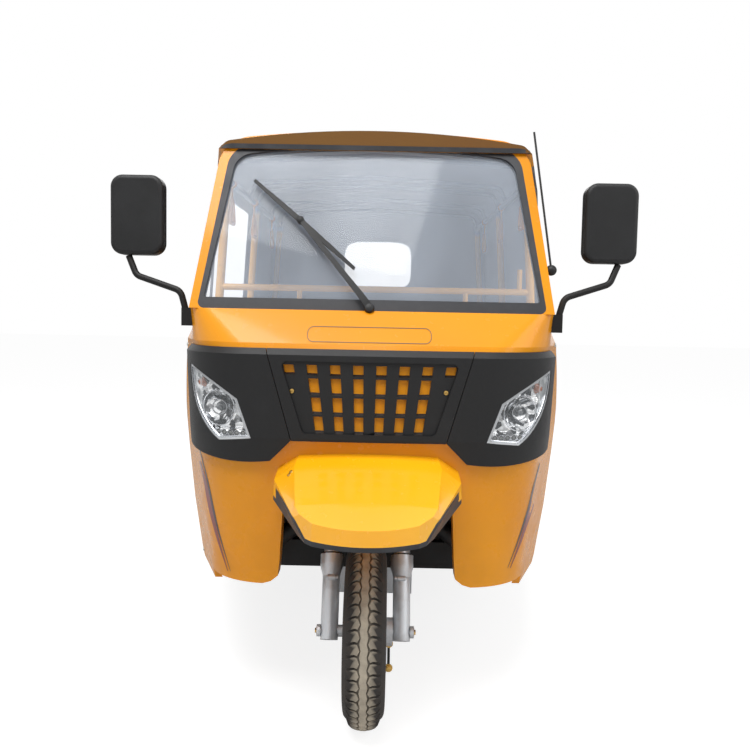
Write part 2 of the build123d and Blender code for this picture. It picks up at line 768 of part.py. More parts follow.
# --- chassis ---
def chassis_frame():
    """Ladder of two rails with cross members and outriggers, and the neck that holds the head tube."""
    y0, y1 = BULKHEAD_Y - 30, REAR_WALL_Y - WALL
    base = FLOOR_Z - RAIL_H
    rail = block(RAIL_X - RAIL_W / 2, RAIL_X + RAIL_W / 2, y0, y1, base, FLOOR_Z)
    frame = both(rail)
    rear = (REAR_AXLE_Y - CROSS_TO_AXLE, REAR_AXLE_Y + CROSS_TO_AXLE, y1 - CROSS_W / 2)
    for y in CROSS_MEMBERS + rear:
        frame += block(-RAIL_X, RAIL_X, y - CROSS_W / 2, y + CROSS_W / 2, base, FLOOR_Z)
    for y in OUTRIGGERS + (y1 - OUTRIGGER_W / 2,):
        reach = HALF - WALL if y > PARTITION_Y else nose_back_half(SILL_Z) - WALL
        frame += block(-reach, reach, y - OUTRIGGER_W / 2, y + OUTRIGGER_W / 2, FLOOR_Z - RAIL_H / 2, FLOOR_Z)
    head = along_fork(0, 0, HEAD_TUBE_BASE + HEAD_TUBE_LEN * NECK_SHARE)
    neck_end = (RAIL_X - RAIL_W / 2, BULKHEAD_Y, FLOOR_Z - RAIL_H / 2)
    frame += both(tube([(0, head.Y, head.Z), neck_end], NECK_TUBE_R, 0))
    frame += fork_bar(0, 0, HEAD_TUBE_BASE, HEAD_TUBE_BASE + HEAD_TUBE_LEN, HEAD_TUBE_R)
    bore = fork_bar(0, 0, HEAD_TUBE_BASE - 100, HEAD_TUBE_BASE + HEAD_TUBE_LEN + 100, STEM_R + BEARING_GAP)
    return frame - bore


def rear_axle():
    end = REAR_TRACK / 2 - HUB_W / 2 - SIDE_GAP
    hub_end = REAR_TRACK / 2 + HUB_W / 2 + SIDE_GAP
    axle = rod(-end, end, REAR_AXLE_Y, AXLE_Z, AXLE_TUBE_R)
    axle += Pos(0, REAR_AXLE_Y, AXLE_Z) * Sphere(DIFF_R)
    nose_y = REAR_AXLE_Y - PINION_REACH
    axle += Pos(0, (nose_y + REAR_AXLE_Y) / 2, AXLE_Z) * Rot(90, 0, 0) * Cylinder(PINION_R, PINION_REACH)
    for side in (-1, 1):
        axle += rod(*sorted((side * end, side * (end - DRUM_T))), REAR_AXLE_Y, AXLE_Z, DRUM_R)
        axle += rod(*sorted((side * end, side * (hub_end + HUB_NUT_T))), REAR_AXLE_Y, AXLE_Z, REAR_STUB_R)
        axle += rod(*sorted((side * hub_end, side * (hub_end + HUB_NUT_T))), REAR_AXLE_Y, AXLE_Z, REAR_STUB_R + 6)
    return axle


def leaf_springs(axle):
    """Stacked leaves under each rail, with a shackle at each end and a plate on the axle."""
    low, high = AXLE_Z + AXLE_TUBE_R, FLOOR_Z - SPRING_TOP_GAP
    stack = LEAF_T * len(SPRING_LEAVES)
    x0, x1 = SPRING_X - SPRING_W / 2, SPRING_X + SPRING_W / 2
    spring = None
    for index, share in enumerate(SPRING_LEAVES):
        half = SPRING_HALF * share
        top = low + stack - index * LEAF_T
        end = top + (high - low - stack) * share ** 2
        leaf = make_face([
            ThreePointArc((-half, end), (0, top), (half, end)),
            Line((half, end), (half, end - LEAF_T)),
            ThreePointArc((half, end - LEAF_T), (0, top - LEAF_T), (-half, end - LEAF_T)),
            Line((-half, end - LEAF_T), (-half, end)),
        ])
        solid = Pos(0, REAR_AXLE_Y, 0) * side_prism(leaf, x0, x1)
        spring = solid if spring is None else spring + solid
    for end in (-1, 1):
        y = REAR_AXLE_Y + end * (SPRING_HALF - SHACKLE_W / 2)
        spring += block(RAIL_X + RAIL_W / 2, x1, y - SHACKLE_W / 2, y + SHACKLE_W / 2, high - SHACKLE_T, FLOOR_Z)
    spring += block(x0 - 10, x1 + 10, REAR_AXLE_Y - SPRING_PLATE, REAR_AXLE_Y + SPRING_PLATE,
                    low - SHACKLE_T, low + LEAF_T)
    return both(spring) - axle


def engine_block():
    return block(-ENGINE_HALF, ENGINE_HALF, *ENGINE_SPAN, ENGINE_BASE_Z, FLOOR_Z - RAIL_H)


def drive_shaft():
    start, end = (0, ENGINE_SPAN[1] - SHAFT_R, SHAFT_Z), (0, REAR_AXLE_Y - PINION_REACH, AXLE_Z)
    return tube([start, end], SHAFT_R, 0)


def muffler():
    x, y, z = MUFFLER_AT
    can = Pos(x, y, z) * Rot(90, 0, 0) * Cylinder(MUFFLER_R, MUFFLER_LEN)
    start_x, start_y = PIPE_START
    path = [(start_x, start_y, z), (x, start_y + 2 * (x - start_x), z), (x, y - MUFFLER_LEN / 2 + 5, z)]
    return can + tube(path, PIPE_R, PIPE_BEND)


# --- inside ---
def seat_box(half, y0, y1, top):
    z0, t = FLOOR_Z + FLOOR_T, SEAT_BOX_T
    return block(-half, half, y0, y1, z0, top) - block(-half + t, half - t, y0 + t, y1 - t, z0, top - t)


def seat_bases():
    driver = seat_box(DRIVER_HALF, DRIVER_SEAT_Y, PARTITION_Y - 2 * TUBE_R - 8, SEAT_Z)
    jump = seat_box(BENCH_HALF, PARTITION_Y + PARTITION_T, JUMP_END_Y - 10, BENCH_Z)
    return driver + jump + seat_box(BENCH_HALF, BENCH_Y, REAR_WALL_Y - WALL, BENCH_Z)


def seat_cushions():
    driver = block(-DRIVER_HALF - 30, DRIVER_HALF + 30, DRIVER_SEAT_Y - 15, PARTITION_Y - 2 * TUBE_R - BACK_T - 8,
                   SEAT_Z, SEAT_Z + SEAT_T)
    y1 = REAR_WALL_Y - WALL - BACK_T
    bench = block(-BENCH_REACH, BENCH_REACH, BENCH_Y - 20, y1, BENCH_Z, BENCH_Z + BENCH_T)
    jump = block(-BENCH_HALF, BENCH_HALF, PARTITION_Y + PARTITION_T, JUMP_END_Y, BENCH_Z, BENCH_Z + BENCH_T)
    return driver + bench + jump


def seat_backs():
    y1 = PARTITION_Y - 2 * TUBE_R
    driver = block(-DRIVER_HALF - 20, DRIVER_HALF + 20, y1 - BACK_T, y1, SEAT_Z + SEAT_T + BACK_FOOT,
                   BACK_TOP_Z - 30)
    y1 = REAR_WALL_Y - WALL
    bench = block(-BENCH_REACH + 30, BENCH_REACH - 30, y1 - BACK_T, y1, BENCH_Z, BACK_TOP_Z)
    return driver + bench


def partition_panel():
    """Panel behind the driver, with two brackets that carry the seat back."""
    panel = block(-HALF + WALL, HALF - WALL, PARTITION_Y, PARTITION_Y + PARTITION_T, FLOOR_Z + FLOOR_T, WAIST_Z)
    x0, x1, z0, z1 = STANDOFF
    return panel + both(block(x0, x1, PARTITION_Y - 2 * TUBE_R, PARTITION_Y, z0, z1))


def body_frame(cab, panel, roof):
    """Posts, roof rails and bows of the canopy, and the grab rail behind the driver."""
    y_post, y_door, y_rear = PARTITION_Y - TUBE_R, passenger_door_end() + TUBE_R, REAR_WALL_Y - WALL - TUBE_R
    foot = HALF - WALL - TUBE_R - POST_GAP
    frame = None
    for y in (y_post, y_door, y_rear):
        z0 = FLOOR_Z + FLOOR_T if y == y_post else WAIST_Z - 200
        post = tube([(foot, y, z0), (foot, y, WAIST_Z), (ROOF_RAIL_X, y, ROOF_RAIL_Z)], TUBE_R, 60)
        frame = post if frame is None else frame + post
    frame += tube([ROOF_RAIL_START, (ROOF_RAIL_X, y_post, ROOF_RAIL_Z), (ROOF_RAIL_X, y_rear, ROOF_RAIL_Z)],
                  ROOF_RAIL_R, 200)
    frame = both(frame)
    bend_z, middle_z = (ROOF_RAIL_Z + rise for rise in BOW_RISE)
    for y in (y_post, y_door, y_rear) + BOW_STATIONS:
        bow = [(-ROOF_RAIL_X, y, ROOF_RAIL_Z), (-BOW_BEND_X, y, bend_z), (0, y, middle_z),
               (BOW_BEND_X, y, bend_z), (ROOF_RAIL_X, y, ROOF_RAIL_Z)]
        frame += tube(bow, BOW_R, 50)
    frame += rod(-foot + 20, foot - 20, y_post, GRAB_RAIL_Z, GRAB_RAIL_R)
    for x, z0, z1 in RAIL_UPRIGHTS:
        frame += tube([(x, y_post, z0), (x, y_post, z1)], BOW_R, 0)
    return frame - cab - panel - roof


def grab_handles():
    """Three hand loops a side, each hung from the roof rail by a strap that wraps it."""
    x, rail_z, parts = ROOF_RAIL_X, ROOF_RAIL_Z, None
    for y in (PARTITION_Y + 80, passenger_door_end() - 70, REAR_WALL_Y - 390):
        strap = block(x - STRAP_T / 2, x + STRAP_T / 2, y - STRAP_W / 2, y + STRAP_W / 2,
                      STRAP_FOOT_Z, rail_z)
        loop = Pos(x, y, rail_z) * Rot(90, 0, 0) * Cylinder(ROOF_RAIL_R + LOOP_T, STRAP_W)
        rail = Pos(x, y, rail_z) * Rot(90, 0, 0) * Cylinder(ROOF_RAIL_R, STRAP_W)
        path = FilletPolyline((x, y - HANDLE_HALF, HANDLE_LOW_Z), (x, y + HANDLE_HALF, HANDLE_LOW_Z),
                              (x, y, HANDLE_TOP_Z), radius=HANDLE_BEND, close=True)
        ring = sweep(Plane(origin=path @ 0, z_dir=path % 0) * Circle(HANDLE_R), path=path)
        handle = ring + ((strap + loop) - rail)
        parts = handle if parts is None else parts + handle
    return both(parts)


# --- fittings outside ---
def mirror_arms():
    return both(block(*BRACKET) + tube(ARM_PATH, ARM_R, ARM_BEND))


def mirror_housings():
    centre_x, centre_z = MIRROR_X - MIRROR_W / 2, MIRROR_Z + MIRROR_H / 2
    face = RectangleRounded(MIRROR_W, MIRROR_H, MIRROR_R)
    head = extrude(Plane(origin=(centre_x, MIRROR_Y + MIRROR_D / 2, centre_z), x_dir=(1, 0, 0),
                         z_dir=(0, -1, 0)) * face, amount=MIRROR_D)
    front_edges = head.faces().sort_by(Axis.Y)[0].edges()
    head = fillet(front_edges, MIRROR_EDGE_R)
    return both(head - mirror_glass_blank(centre_x, centre_z))


def mirror_glass_blank(centre_x, centre_z):
    face = RectangleRounded(MIRROR_W - 16, MIRROR_H - 16, MIRROR_R - 8)
    plane = Plane(origin=(centre_x, MIRROR_Y + MIRROR_D / 2, centre_z), x_dir=(1, 0, 0), z_dir=(0, -1, 0))
    return extrude(plane * face, amount=MIRROR_GLASS_T)


def mirror_glasses():
    return both(mirror_glass_blank(MIRROR_X - MIRROR_W / 2, MIRROR_Z + MIRROR_H / 2))


def wiper():
    plane = screen_plane(-WIPER_GAP)
    pivot = plane * Pos(*WIPER_PIVOT) * extrude(Circle(WIPER_PIVOT_R), amount=-(WIPER_GAP + 3))
    arm = polygon((-14, 4), (-208, 252), (-198, 260), (6, 14))
    blade = polygon((-341, 370), (-333, 380), (-46, 126), (-54, 116))
    return pivot + extrude(plane * arm, amount=WIPER_T) + extrude(plane * blade, amount=-WIPER_T)


def antenna():
    return Pos(*AERIAL_FOOT) * Sphere(AERIAL_KNOB_R) + tube([AERIAL_FOOT, AERIAL_TIP], AERIAL_R, 0)


def tail_lamps():
    x0, x1, z0, z1 = TAIL_LAMP
    return both(block(x0, x1, REAR_WALL_Y, REAR_WALL_Y + TAIL_LAMP_T, z0, z1))


def rear_bumper():
    """Straight bar on two arms, with a collar round it at each arm."""
    y = WHEELBASE + REAR_OVERHANG - BUMPER_R
    z = FLOOR_Z - RAIL_H / 2
    bar = rod(-BUMPER_HALF, BUMPER_HALF, y, z, BUMPER_R)
    for x in (-RAIL_X, RAIL_X):
        bar += block(x - BUMPER_ARM / 2, x + BUMPER_ARM / 2, REAR_WALL_Y, y, z - 15, z + 15)
        bar += rod(x - COLLAR_HALF, x + COLLAR_HALF, y, z, COLLAR_R)
    return bar & block(-HALF, HALF, REAR_WALL_Y, y + BUMPER_R, 0, WAIST_Z)


# --- steering assembly ---
def fork_yoke():
    middle = YOKE_BASE + YOKE_T / 2
    yoke = STEER * Pos(0, -FORK_OFFSET / 2, middle) * Box(2 * (LEG_X + YOKE_REACH), YOKE_DEPTH, YOKE_T)
    return yoke + fork_bar(0, 0, YOKE_BASE + YOKE_T, BAR_HEIGHT - CLAMP_SIZE[2] / 2, STEM_R)


def fork_stanchions():
    """Chromed tubes with the rings of their dust boots."""
    base = SLIDER_TOP + FLANGE_H / 2
    leg = fork_bar(LEG_X, -FORK_OFFSET, base, YOKE_BASE, STANCHION_R)
    for index in range(BOOT_RINGS):
        low = base + 8 + index * BOOT_PITCH
        leg += fork_bar(LEG_X, -FORK_OFFSET, low, low + BOOT_RING_H, BOOT_R)
    return both(leg)


def fork_sliders():
    leg = fork_bar(LEG_X, -FORK_OFFSET, -SLIDER_FOOT, SLIDER_TOP, SLIDER_R)
    leg += fork_bar(LEG_X, -FORK_OFFSET, SLIDER_TOP - FLANGE_H / 2, SLIDER_TOP + FLANGE_H / 2, FLANGE_R)
    return both(leg) - rod(-HALF, HALF, 0, AXLE_Z, FRONT_AXLE_R)


def front_axle():
    """Spindle, nuts and spacer, with the brake plate and its arm on the +X side."""
    reach, hub_end = LEG_X + SLIDER_R, HUB_W / 2
    plate = hub_end + SIDE_GAP
    axle = rod(-reach - AXLE_END, reach + AXLE_END, 0, AXLE_Z, FRONT_AXLE_R)
    for side in (-1, 1):
        axle += rod(*sorted((side * reach, side * (reach + AXLE_END))), 0, AXLE_Z, SPACER_R)
    axle += rod(-(LEG_X - SLIDER_R), -plate, 0, AXLE_Z, SPACER_R)
    axle += rod(plate, plate + BRAKE_PLATE_T, 0, AXLE_Z, BRAKE_PLATE_R)
    axle += rod(plate, LEG_X - SLIDER_R, 0, AXLE_Z, HUB_R)
    axle += block(plate + 2, plate + 14, -BRAKE_ARM_W / 2, BRAKE_ARM_W / 2, AXLE_Z - BRAKE_ARM_LEN, AXLE_Z)
    return axle - fork_sliders()


def handlebar():
    z, (inner, outer) = BAR_HEIGHT, BAR_STEP
    half_bar = [(inner, 0, z), (outer, BAR_SHOULDER, z + BAR_RISE), (BAR_HALF, BAR_SWEEP, z + BAR_RISE)]
    points = [(-x, y, high) for x, y, high in half_bar[::-1]] + half_bar
    return STEER * tube(points, BAR_R, BAR_BEND) + STEER * Pos(0, 0, z) * Box(*CLAMP_SIZE)


def handlebar_grips(bar):
    grips = None
    for side in (-1, 1):
        end = Vector(side * BAR_HALF, BAR_SWEEP, BAR_HEIGHT + BAR_RISE)
        start = Vector(side * BAR_STEP[1], BAR_SHOULDER, BAR_HEIGHT + BAR_RISE)
        way = (start - end).normalized()
        grip = STEER * tube([tuple(end), tuple(end + way * GRIP_LEN)], GRIP_R, 0)
        grips = grip if grips is None else grips + grip
    return grips - bar


def instruments():
    top = BAR_HEIGHT + CLAMP_SIZE[2] / 2
    foot = STEER * Pos(0, 0, top + POD_LIFT / 2) * Box(POD_FOOT, POD_FOOT, POD_LIFT)
    return foot + STEER * Pos(0, 0, top + POD_LIFT + POD_H / 2) * Cylinder(POD_R, POD_H)


# --- wheels ---
def tyre(x, y):
    half, bead, rim_top = TYRE_W / 2, RIM_W / 2 - RIM_T, RIM_R + BEAD_H
    belly, edge = (half, (rim_top + TYRE_R) / 2), TYRE_R - CROWN_DROP
    face = make_face([
        Line((-bead, RIM_R + RIM_T), (bead, RIM_R + RIM_T)),
        Line((bead, RIM_R + RIM_T), (bead, rim_top)),
        ThreePointArc((bead, rim_top), belly, (TYRE_CROWN, edge)),
        ThreePointArc((TYRE_CROWN, edge), (0, TYRE_R), (-TYRE_CROWN, edge)),
        ThreePointArc((-TYRE_CROWN, edge), (-belly[0], belly[1]), (-bead, rim_top)),
        Line((-bead, rim_top), (-bead, RIM_R + RIM_T)),
    ])
    return Pos(x, y, AXLE_Z) * revolve(face, axis=Axis.X)


def rim(x, y, bore, outward):
    half, flange = RIM_W / 2, RIM_R + BEAD_H - 2
    well = [(RIM_R + RIM_T, -half + RIM_T), (flange, -half + RIM_T), (flange, -half), (RIM_R, -half),
            (RIM_R, half), (flange, half), (flange, half - RIM_T), (RIM_R + RIM_T, half - RIM_T)]
    barrel = lathe(well, x, y, AXLE_Z)
    disc_x = x + outward * DISC_SHIFT
    disc = rod(disc_x - DISC_T / 2, disc_x + DISC_T / 2, y, AXLE_Z, RIM_R)
    for index in range(DISC_HOLES):
        angle = 2 * math.pi / DISC_HOLES * index
        hole_y, hole_z = y + DISC_HOLE_RING * math.cos(angle), AXLE_Z + DISC_HOLE_RING * math.sin(angle)
        disc -= rod(disc_x - DISC_T, disc_x + DISC_T, hole_y, hole_z, DISC_HOLE_R)
    hub = rod(x - HUB_W / 2, x + HUB_W / 2, y, AXLE_Z, HUB_R)
    return barrel + disc + hub - rod(x - HUB_W, x + HUB_W, y, AXLE_Z, bore)


def build():
    """Every piece by node name, in the modelling position."""
    nose = nose_solid()
    fascia = front_fascia(nose)
    panels = side_panels(nose)
    blank = band_blank(nose)
    cab = cab_frame()
    seal = windscreen_seal(fascia)
    roof = cab_roof(cab, seal)
    lamps = headlamp_housings()
    mirrors = mirror_housings()
    engine = engine_block()
    chassis = chassis_frame()
    walls = body_walls()
    partition = partition_panel()
    axle = rear_axle()
    bar = handlebar()
    rear_x = REAR_TRACK / 2
    return {
        "chassis_frame": chassis,
        "front_fascia": fascia,
        "side_panels": panels,
        "lamp_bands": lamp_bands(blank),
        "grille_panel": grille_panel(blank),
        "headlamp_housings": lamps,
        "headlamp_reflectors": headlamp_reflectors(),
        "headlamp_lenses": headlamp_lenses(),
        "nose_fender": nose_fender(nose),
        "fender_trim": fender_trim(nose),
        "front_bulkhead": front_bulkhead(chassis),
        "dashboard": dashboard(cab, lamps),
        "windscreen_seal": seal,
        "windscreen_glass": windscreen_glass(),
        "cab_frame": cab,
        "cab_roof": roof,
        "wiper": wiper() - fascia - seal - cab,
        "mirror_arms": mirror_arms() - nose - cab - mirrors,
        "mirror_housings": mirrors,
        "mirror_glasses": mirror_glasses(),
        "antenna": antenna() - cab,
        "floor_pan": floor_pan() - chassis,
        "body_side_left": body_side(walls, 1),
        "body_side_right": body_side(walls, -1),
        "rear_panel": rear_panel(),
        "partition_panel": partition,
        "body_frame": body_frame(cab, partition, roof),
        "canopy": canopy(),
        "rear_window": rear_window(),
        "grab_handles": grab_handles(),
        "seat_bases": seat_bases(),
        "seat_cushions": seat_cushions(),
        "seat_backs": seat_backs(),
        "tail_lamps": tail_lamps(),
        "rear_bumper": rear_bumper(),
        "rear_axle": axle,
        "leaf_springs": leaf_springs(axle),
        "engine_block": engine,
        "drive_shaft": drive_shaft() - engine - axle,
        "muffler": muffler() - engine,
        "fork_yoke": fork_yoke(),
        "fork_stanchions": fork_stanchions(),
        "fork_sliders": fork_sliders(),
        "front_axle": front_axle(),
        "handlebar": bar,
        "handlebar_grips": handlebar_grips(bar),
        "instruments": instruments(),
        "front_tyre": tyre(0, 0),
        "front_rim": rim(0, 0, FRONT_AXLE_R + BEARING_GAP, -1),
        "rear_tyre_left": tyre(rear_x, REAR_AXLE_Y),
        "rear_rim_left": rim(rear_x, REAR_AXLE_Y, REAR_STUB_R + BEARING_GAP, 1),
        "rear_tyre_right": tyre(-rear_x, REAR_AXLE_Y),
        "rear_rim_right": rim(-rear_x, REAR_AXLE_Y, REAR_STUB_R + BEARING_GAP, -1),
    }


os.makedirs("parts", exist_ok=True)
for name, shape in build().items():
    export_step(CENTRE * shape, f"parts/{name}.step")
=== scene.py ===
import math

import bmesh
import bpy
from mathutils import Matrix, Vector
from mathutils.bvhtree import BVHTree


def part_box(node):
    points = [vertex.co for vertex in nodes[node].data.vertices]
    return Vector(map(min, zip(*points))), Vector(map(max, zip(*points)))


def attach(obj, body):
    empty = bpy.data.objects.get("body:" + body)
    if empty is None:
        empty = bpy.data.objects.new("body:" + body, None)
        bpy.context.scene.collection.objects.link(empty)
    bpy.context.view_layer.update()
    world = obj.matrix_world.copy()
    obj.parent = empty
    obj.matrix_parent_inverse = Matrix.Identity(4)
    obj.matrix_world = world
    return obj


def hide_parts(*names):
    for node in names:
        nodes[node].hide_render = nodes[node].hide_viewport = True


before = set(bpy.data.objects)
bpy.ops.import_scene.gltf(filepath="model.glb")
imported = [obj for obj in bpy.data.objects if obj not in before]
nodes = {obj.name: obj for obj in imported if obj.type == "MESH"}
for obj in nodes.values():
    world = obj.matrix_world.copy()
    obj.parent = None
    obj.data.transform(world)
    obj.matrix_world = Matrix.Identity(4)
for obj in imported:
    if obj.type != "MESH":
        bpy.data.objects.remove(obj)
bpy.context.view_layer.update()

scene = bpy.context.scene
axleBehind = 1.195  # the front axle stands this far ahead of the middle of the vehicle
print("frame loaded:", len(nodes), "nodes")


shot = {
    "eye": (0.027, -3.370, 1.114), "yaw": -0.37, "pitch": 4.3, "roll": 1.12,
    "focal": 820, "width": 750, "sensor": 36.0,  # focal length in pixels of a 750 wide render
}


def shotAxes():
    yaw, pitch, roll = (math.radians(shot[key]) for key in ("yaw", "pitch", "roll"))
    ahead = Vector((math.sin(yaw) * math.cos(pitch), math.cos(yaw) * math.cos(pitch), -math.sin(pitch)))
    right = Vector((math.cos(yaw), -math.sin(yaw), 0))
    up = right.cross(ahead)
    c, s = math.cos(roll), math.sin(roll)
    return right * c + up * s, up * c - right * s, ahead


def addCamera():
    right, up, ahead = shotAxes()
    camera = bpy.data.objects.new("camera", bpy.data.cameras.new("camera"))
    camera.data.sensor_width = shot["sensor"]
    camera.data.lens = shot["focal"] * shot["sensor"] / shot["width"]
    turn = Matrix((right, up, -ahead)).transposed().to_4x4()
    camera.matrix_world = Matrix.Translation(shot["eye"]) @ turn
    scene.collection.objects.link(camera)
    scene.camera = camera


def throughPixel(px, py):  # unit direction of the view ray at a pixel of the 750 wide render
    right, up, ahead = shotAxes()
    half = shot["width"] / 2
    return (ahead * shot["focal"] + right * (px - half) + up * (half - py)).normalized()


addCamera()
scene.view_settings.view_transform = "Standard"


def tint(red, green, blue):  # screen colour, 0 to 255, to a linear one
    linear = [v / 12.92 if v <= 0.04045 else ((v + 0.055) / 1.055) ** 2.4
              for v in (red / 255, green / 255, blue / 255)]
    return (*linear, 1.0)


class Wire:  # one output of a node; sums and products of wires add Math nodes
    def __init__(self, tree, socket=None):
        self.tree, self.socket = tree, socket

    def plug(self, entry, value):
        if isinstance(value, Wire):
            self.tree.links.new(value.socket, entry)
        else:
            entry.default_value = value

    def add(self, kind, settings=None, values=None, out=0):
        node = self.tree.nodes.new("ShaderNode" + kind)
        for key, value in (settings or {}).items():
            setattr(node, key, value)
        for key, value in (values or {}).items():
            self.plug(node.inputs[key], value)
        return Wire(self.tree, node.outputs[out])

    def maths(self, operation, first, second=0.0):
        return self.add("Math", {"operation": operation}, {0: first, 1: second})

    def __add__(self, other): return self.maths("ADD", self, other)
    def __radd__(self, other): return self.maths("ADD", other, self)
    def __sub__(self, other): return self.maths("SUBTRACT", self, other)
    def __rsub__(self, other): return self.maths("SUBTRACT", other, self)
    def __mul__(self, other): return self.maths("MULTIPLY", self, other)
    def __rmul__(self, other): return self.maths("MULTIPLY", other, self)
    def __pow__(self, other): return self.maths("POWER", self, other)

    def wave(self, pitch):  # 0 to 1 and back once in each pitch
        return self.maths("SINE", self * (2 * math.pi / pitch)) * 0.5 + 0.5

    def between(self, low, high):  # 0 at low, 1 at high
        limits = {"Value": self, "From Min": low, "From Max": high}
        return self.add("MapRange", {"clamp": True}, limits, "Result")

    def larger(self, other): return self.maths("MAXIMUM", self, other)

    def mix(self, first, second):  # self is the share of the second colour
        return self.add("Mix", {"data_type": "RGBA"}, {0: self, 6: first, 7: second}, 2)

    def place(self): return self.add("TexCoord", out="Object")

    def along(self, axis): return self.add("SeparateXYZ", values={0: self.place()}, out=axis)

    def stretched(self, scales):
        return self.add("Mapping", values={"Vector": self.place(), "Scale": scales})

    def cloud(self, scale, detail=3.0, rough=0.5, scales=(1, 1, 1)):
        values = {"Vector": self.stretched(scales), "Scale": scale, "Detail": detail, "Roughness": rough}
        return self.add("TexNoise", values=values, out="Fac")

    def cells(self, scale, out="Distance"):
        return self.add("TexVoronoi", values={"Vector": self.place(), "Scale": scale}, out=out)


fixedSockets = {
    "metal": "Metallic", "coat": "Coat Weight", "coatRough": "Coat Roughness", "sheen": "Sheen Weight",
    "specular": "Specular IOR Level",
}


def makeFinish(name, recipe, **fixed):
    material = bpy.data.materials.new(name)
    material.use_nodes = True
    shader = material.node_tree.nodes["Principled BSDF"]
    for key, value in fixed.items():
        shader.inputs[fixedSockets[key]].default_value = value
    wire = Wire(material.node_tree)
    for key, value in recipe(wire).items():
        if key == "bump":
            values = {"Height": value[0], "Distance": value[1], "Strength": 1.0}
            wire.plug(shader.inputs["Normal"], wire.add("Bump", values=values, out="Normal"))
        else:
            wire.plug(shader.inputs[key], value)
    return material


# the first two places bound the painted shade on the roof's brow; the last two bound the frame's sleeve
paintPlaces = {"browShadeFront": -0.992, "browShadeBack": -0.962, "sleeveFoot": 1.560, "sleeveFull": 1.585}


def paint(deep, bright, dustFrom=0.33, dustTo=0.72, dusty=0.3):
    def recipe(wire):
        broad = wire.cloud(2.2, 2)
        lowDown = 1 - wire.along("Z").between(dustFrom, dustTo)
        dirt = lowDown * wire.cloud(14, 5, 0.6).between(0.42, 0.75)
        speck = wire.cells(160).between(0.0, 0.12)
        colour = broad.between(0.3, 0.7).mix(tint(*deep), tint(*bright))
        colour = (dirt * dusty).mix(colour, tint(120, 88, 44))
        colour = ((1 - speck) * 0.10 * lowDown).mix(colour, tint(70, 55, 38))
        return {"Base Color": colour, "Roughness": 0.24 + dirt * 0.4 + wire.cloud(40, 2) * 0.05,
                "bump": (wire.cloud(260, 1), 0.00012)}
    return recipe


def roofPaintShadedBrow(wire):  # the brow over the screen carries painted shade: a dark brown band for the shadow under the roof's front edge
    brow = 1 - wire.along("Y").between(paintPlaces["browShadeFront"], paintPlaces["browShadeBack"])
    gloss = wire.cloud(2.2, 2).between(0.3, 0.7).mix(tint(236, 152, 12), tint(244, 166, 22))
    # painted shade: the roof's front band mixes to dark brown
    return {"Base Color": (brow * 0.95).mix(gloss, tint(44, 29, 11)),
            "Roughness": 0.28 + wire.cloud(40, 2) * 0.06, "bump": (wire.cloud(260, 1), 0.00012)}


def framePaint(wire):  # tubes: yellow below, and sleeved in the roof lining above
    sleeve = wire.along("Z").between(paintPlaces["sleeveFoot"], paintPlaces["sleeveFull"])
    chips = wire.cloud(30, 4, 0.6).between(0.62, 0.74)
    colour = (chips * 0.5).mix(tint(236, 178, 84), tint(176, 132, 70))
    return {"Base Color": sleeve.mix(colour, tint(150, 158, 170)),
            "Roughness": 0.34 + sleeve * 0.4 + chips * 0.15, "bump": (wire.cloud(220, 2), 0.0002)}


def grained(colour, lighter, rough, scale, depth):  # moulded plastic with a fine grain
    def recipe(wire):
        grain = wire.cells(scale)
        worn = wire.cloud(6, 4, 0.6).between(0.5, 0.8)
        return {"Base Color": (worn * 0.35 + grain * 0.3).mix(tint(*colour), tint(*lighter)),
                "Roughness": rough + worn * 0.12 - grain * 0.1, "bump": (grain, depth)}
    return recipe


def rubberSkin(colour, dusty, rough=0.6):
    def recipe(wire):
        dust = wire.cloud(18, 5, 0.65).between(0.45, 0.75)
        return {"Base Color": (dust * 0.4).mix(tint(*colour), tint(*dusty)), "Roughness": rough + dust * 0.2,
                "bump": (wire.cloud(420, 2), 0.0002)}
    return recipe


def tyreRubber(wire):  # dusty on the sides, and lighter and greyer on the band where it rolls
    spot = wire.add("TexCoord", out="Generated")
    offset = wire.add("VectorMath", {"operation": "SUBTRACT"}, {0: spot, 1: (0.5, 0.5, 0.5)})
    flat = wire.add("VectorMath", {"operation": "MULTIPLY"}, {0: offset, 1: (0, 2, 2)})
    radius = wire.add("VectorMath", {"operation": "LENGTH"}, {0: flat}, "Value")
    tread = radius.between(0.958, 0.998)
    dust = wire.cloud(26, 5, 0.65).between(0.35, 0.75)
    colour = (dust * 0.6).mix(tint(40, 37, 35), tint(70, 63, 56))
    colour = (tread * (0.55 + dust * 0.4)).mix(colour, tint(192, 181, 162))
    rings = radius.wave(0.035) ** 8
    return {"Base Color": colour, "Roughness": 0.78 + dust * 0.15,
            "bump": (rings * (1 - radius.between(0.86, 0.93)) + wire.cloud(300, 3) * 0.3, 0.0009)}


def castMetal(colour, dirty, rough, scale=300, depth=0.0004):
    def recipe(wire):
        dirt = wire.cloud(11, 5, 0.6).between(0.48, 0.78)
        return {"Base Color": (dirt * 0.6).mix(tint(*colour), tint(*dirty)), "Roughness": rough + dirt * 0.25,
                "bump": (wire.cloud(scale, 3), depth)}
    return recipe


def brushed(colour, dirty, rough):
    def recipe(wire):
        stain = wire.cloud(20, 4).between(0.55, 0.8)
        return {"Base Color": (stain * 0.4).mix(tint(*colour), tint(*dirty)),
                "Roughness": rough + stain * 0.2, "bump": (wire.cloud(90, 2, scales=(1, 1, 8)), 0.00005)}
    return recipe


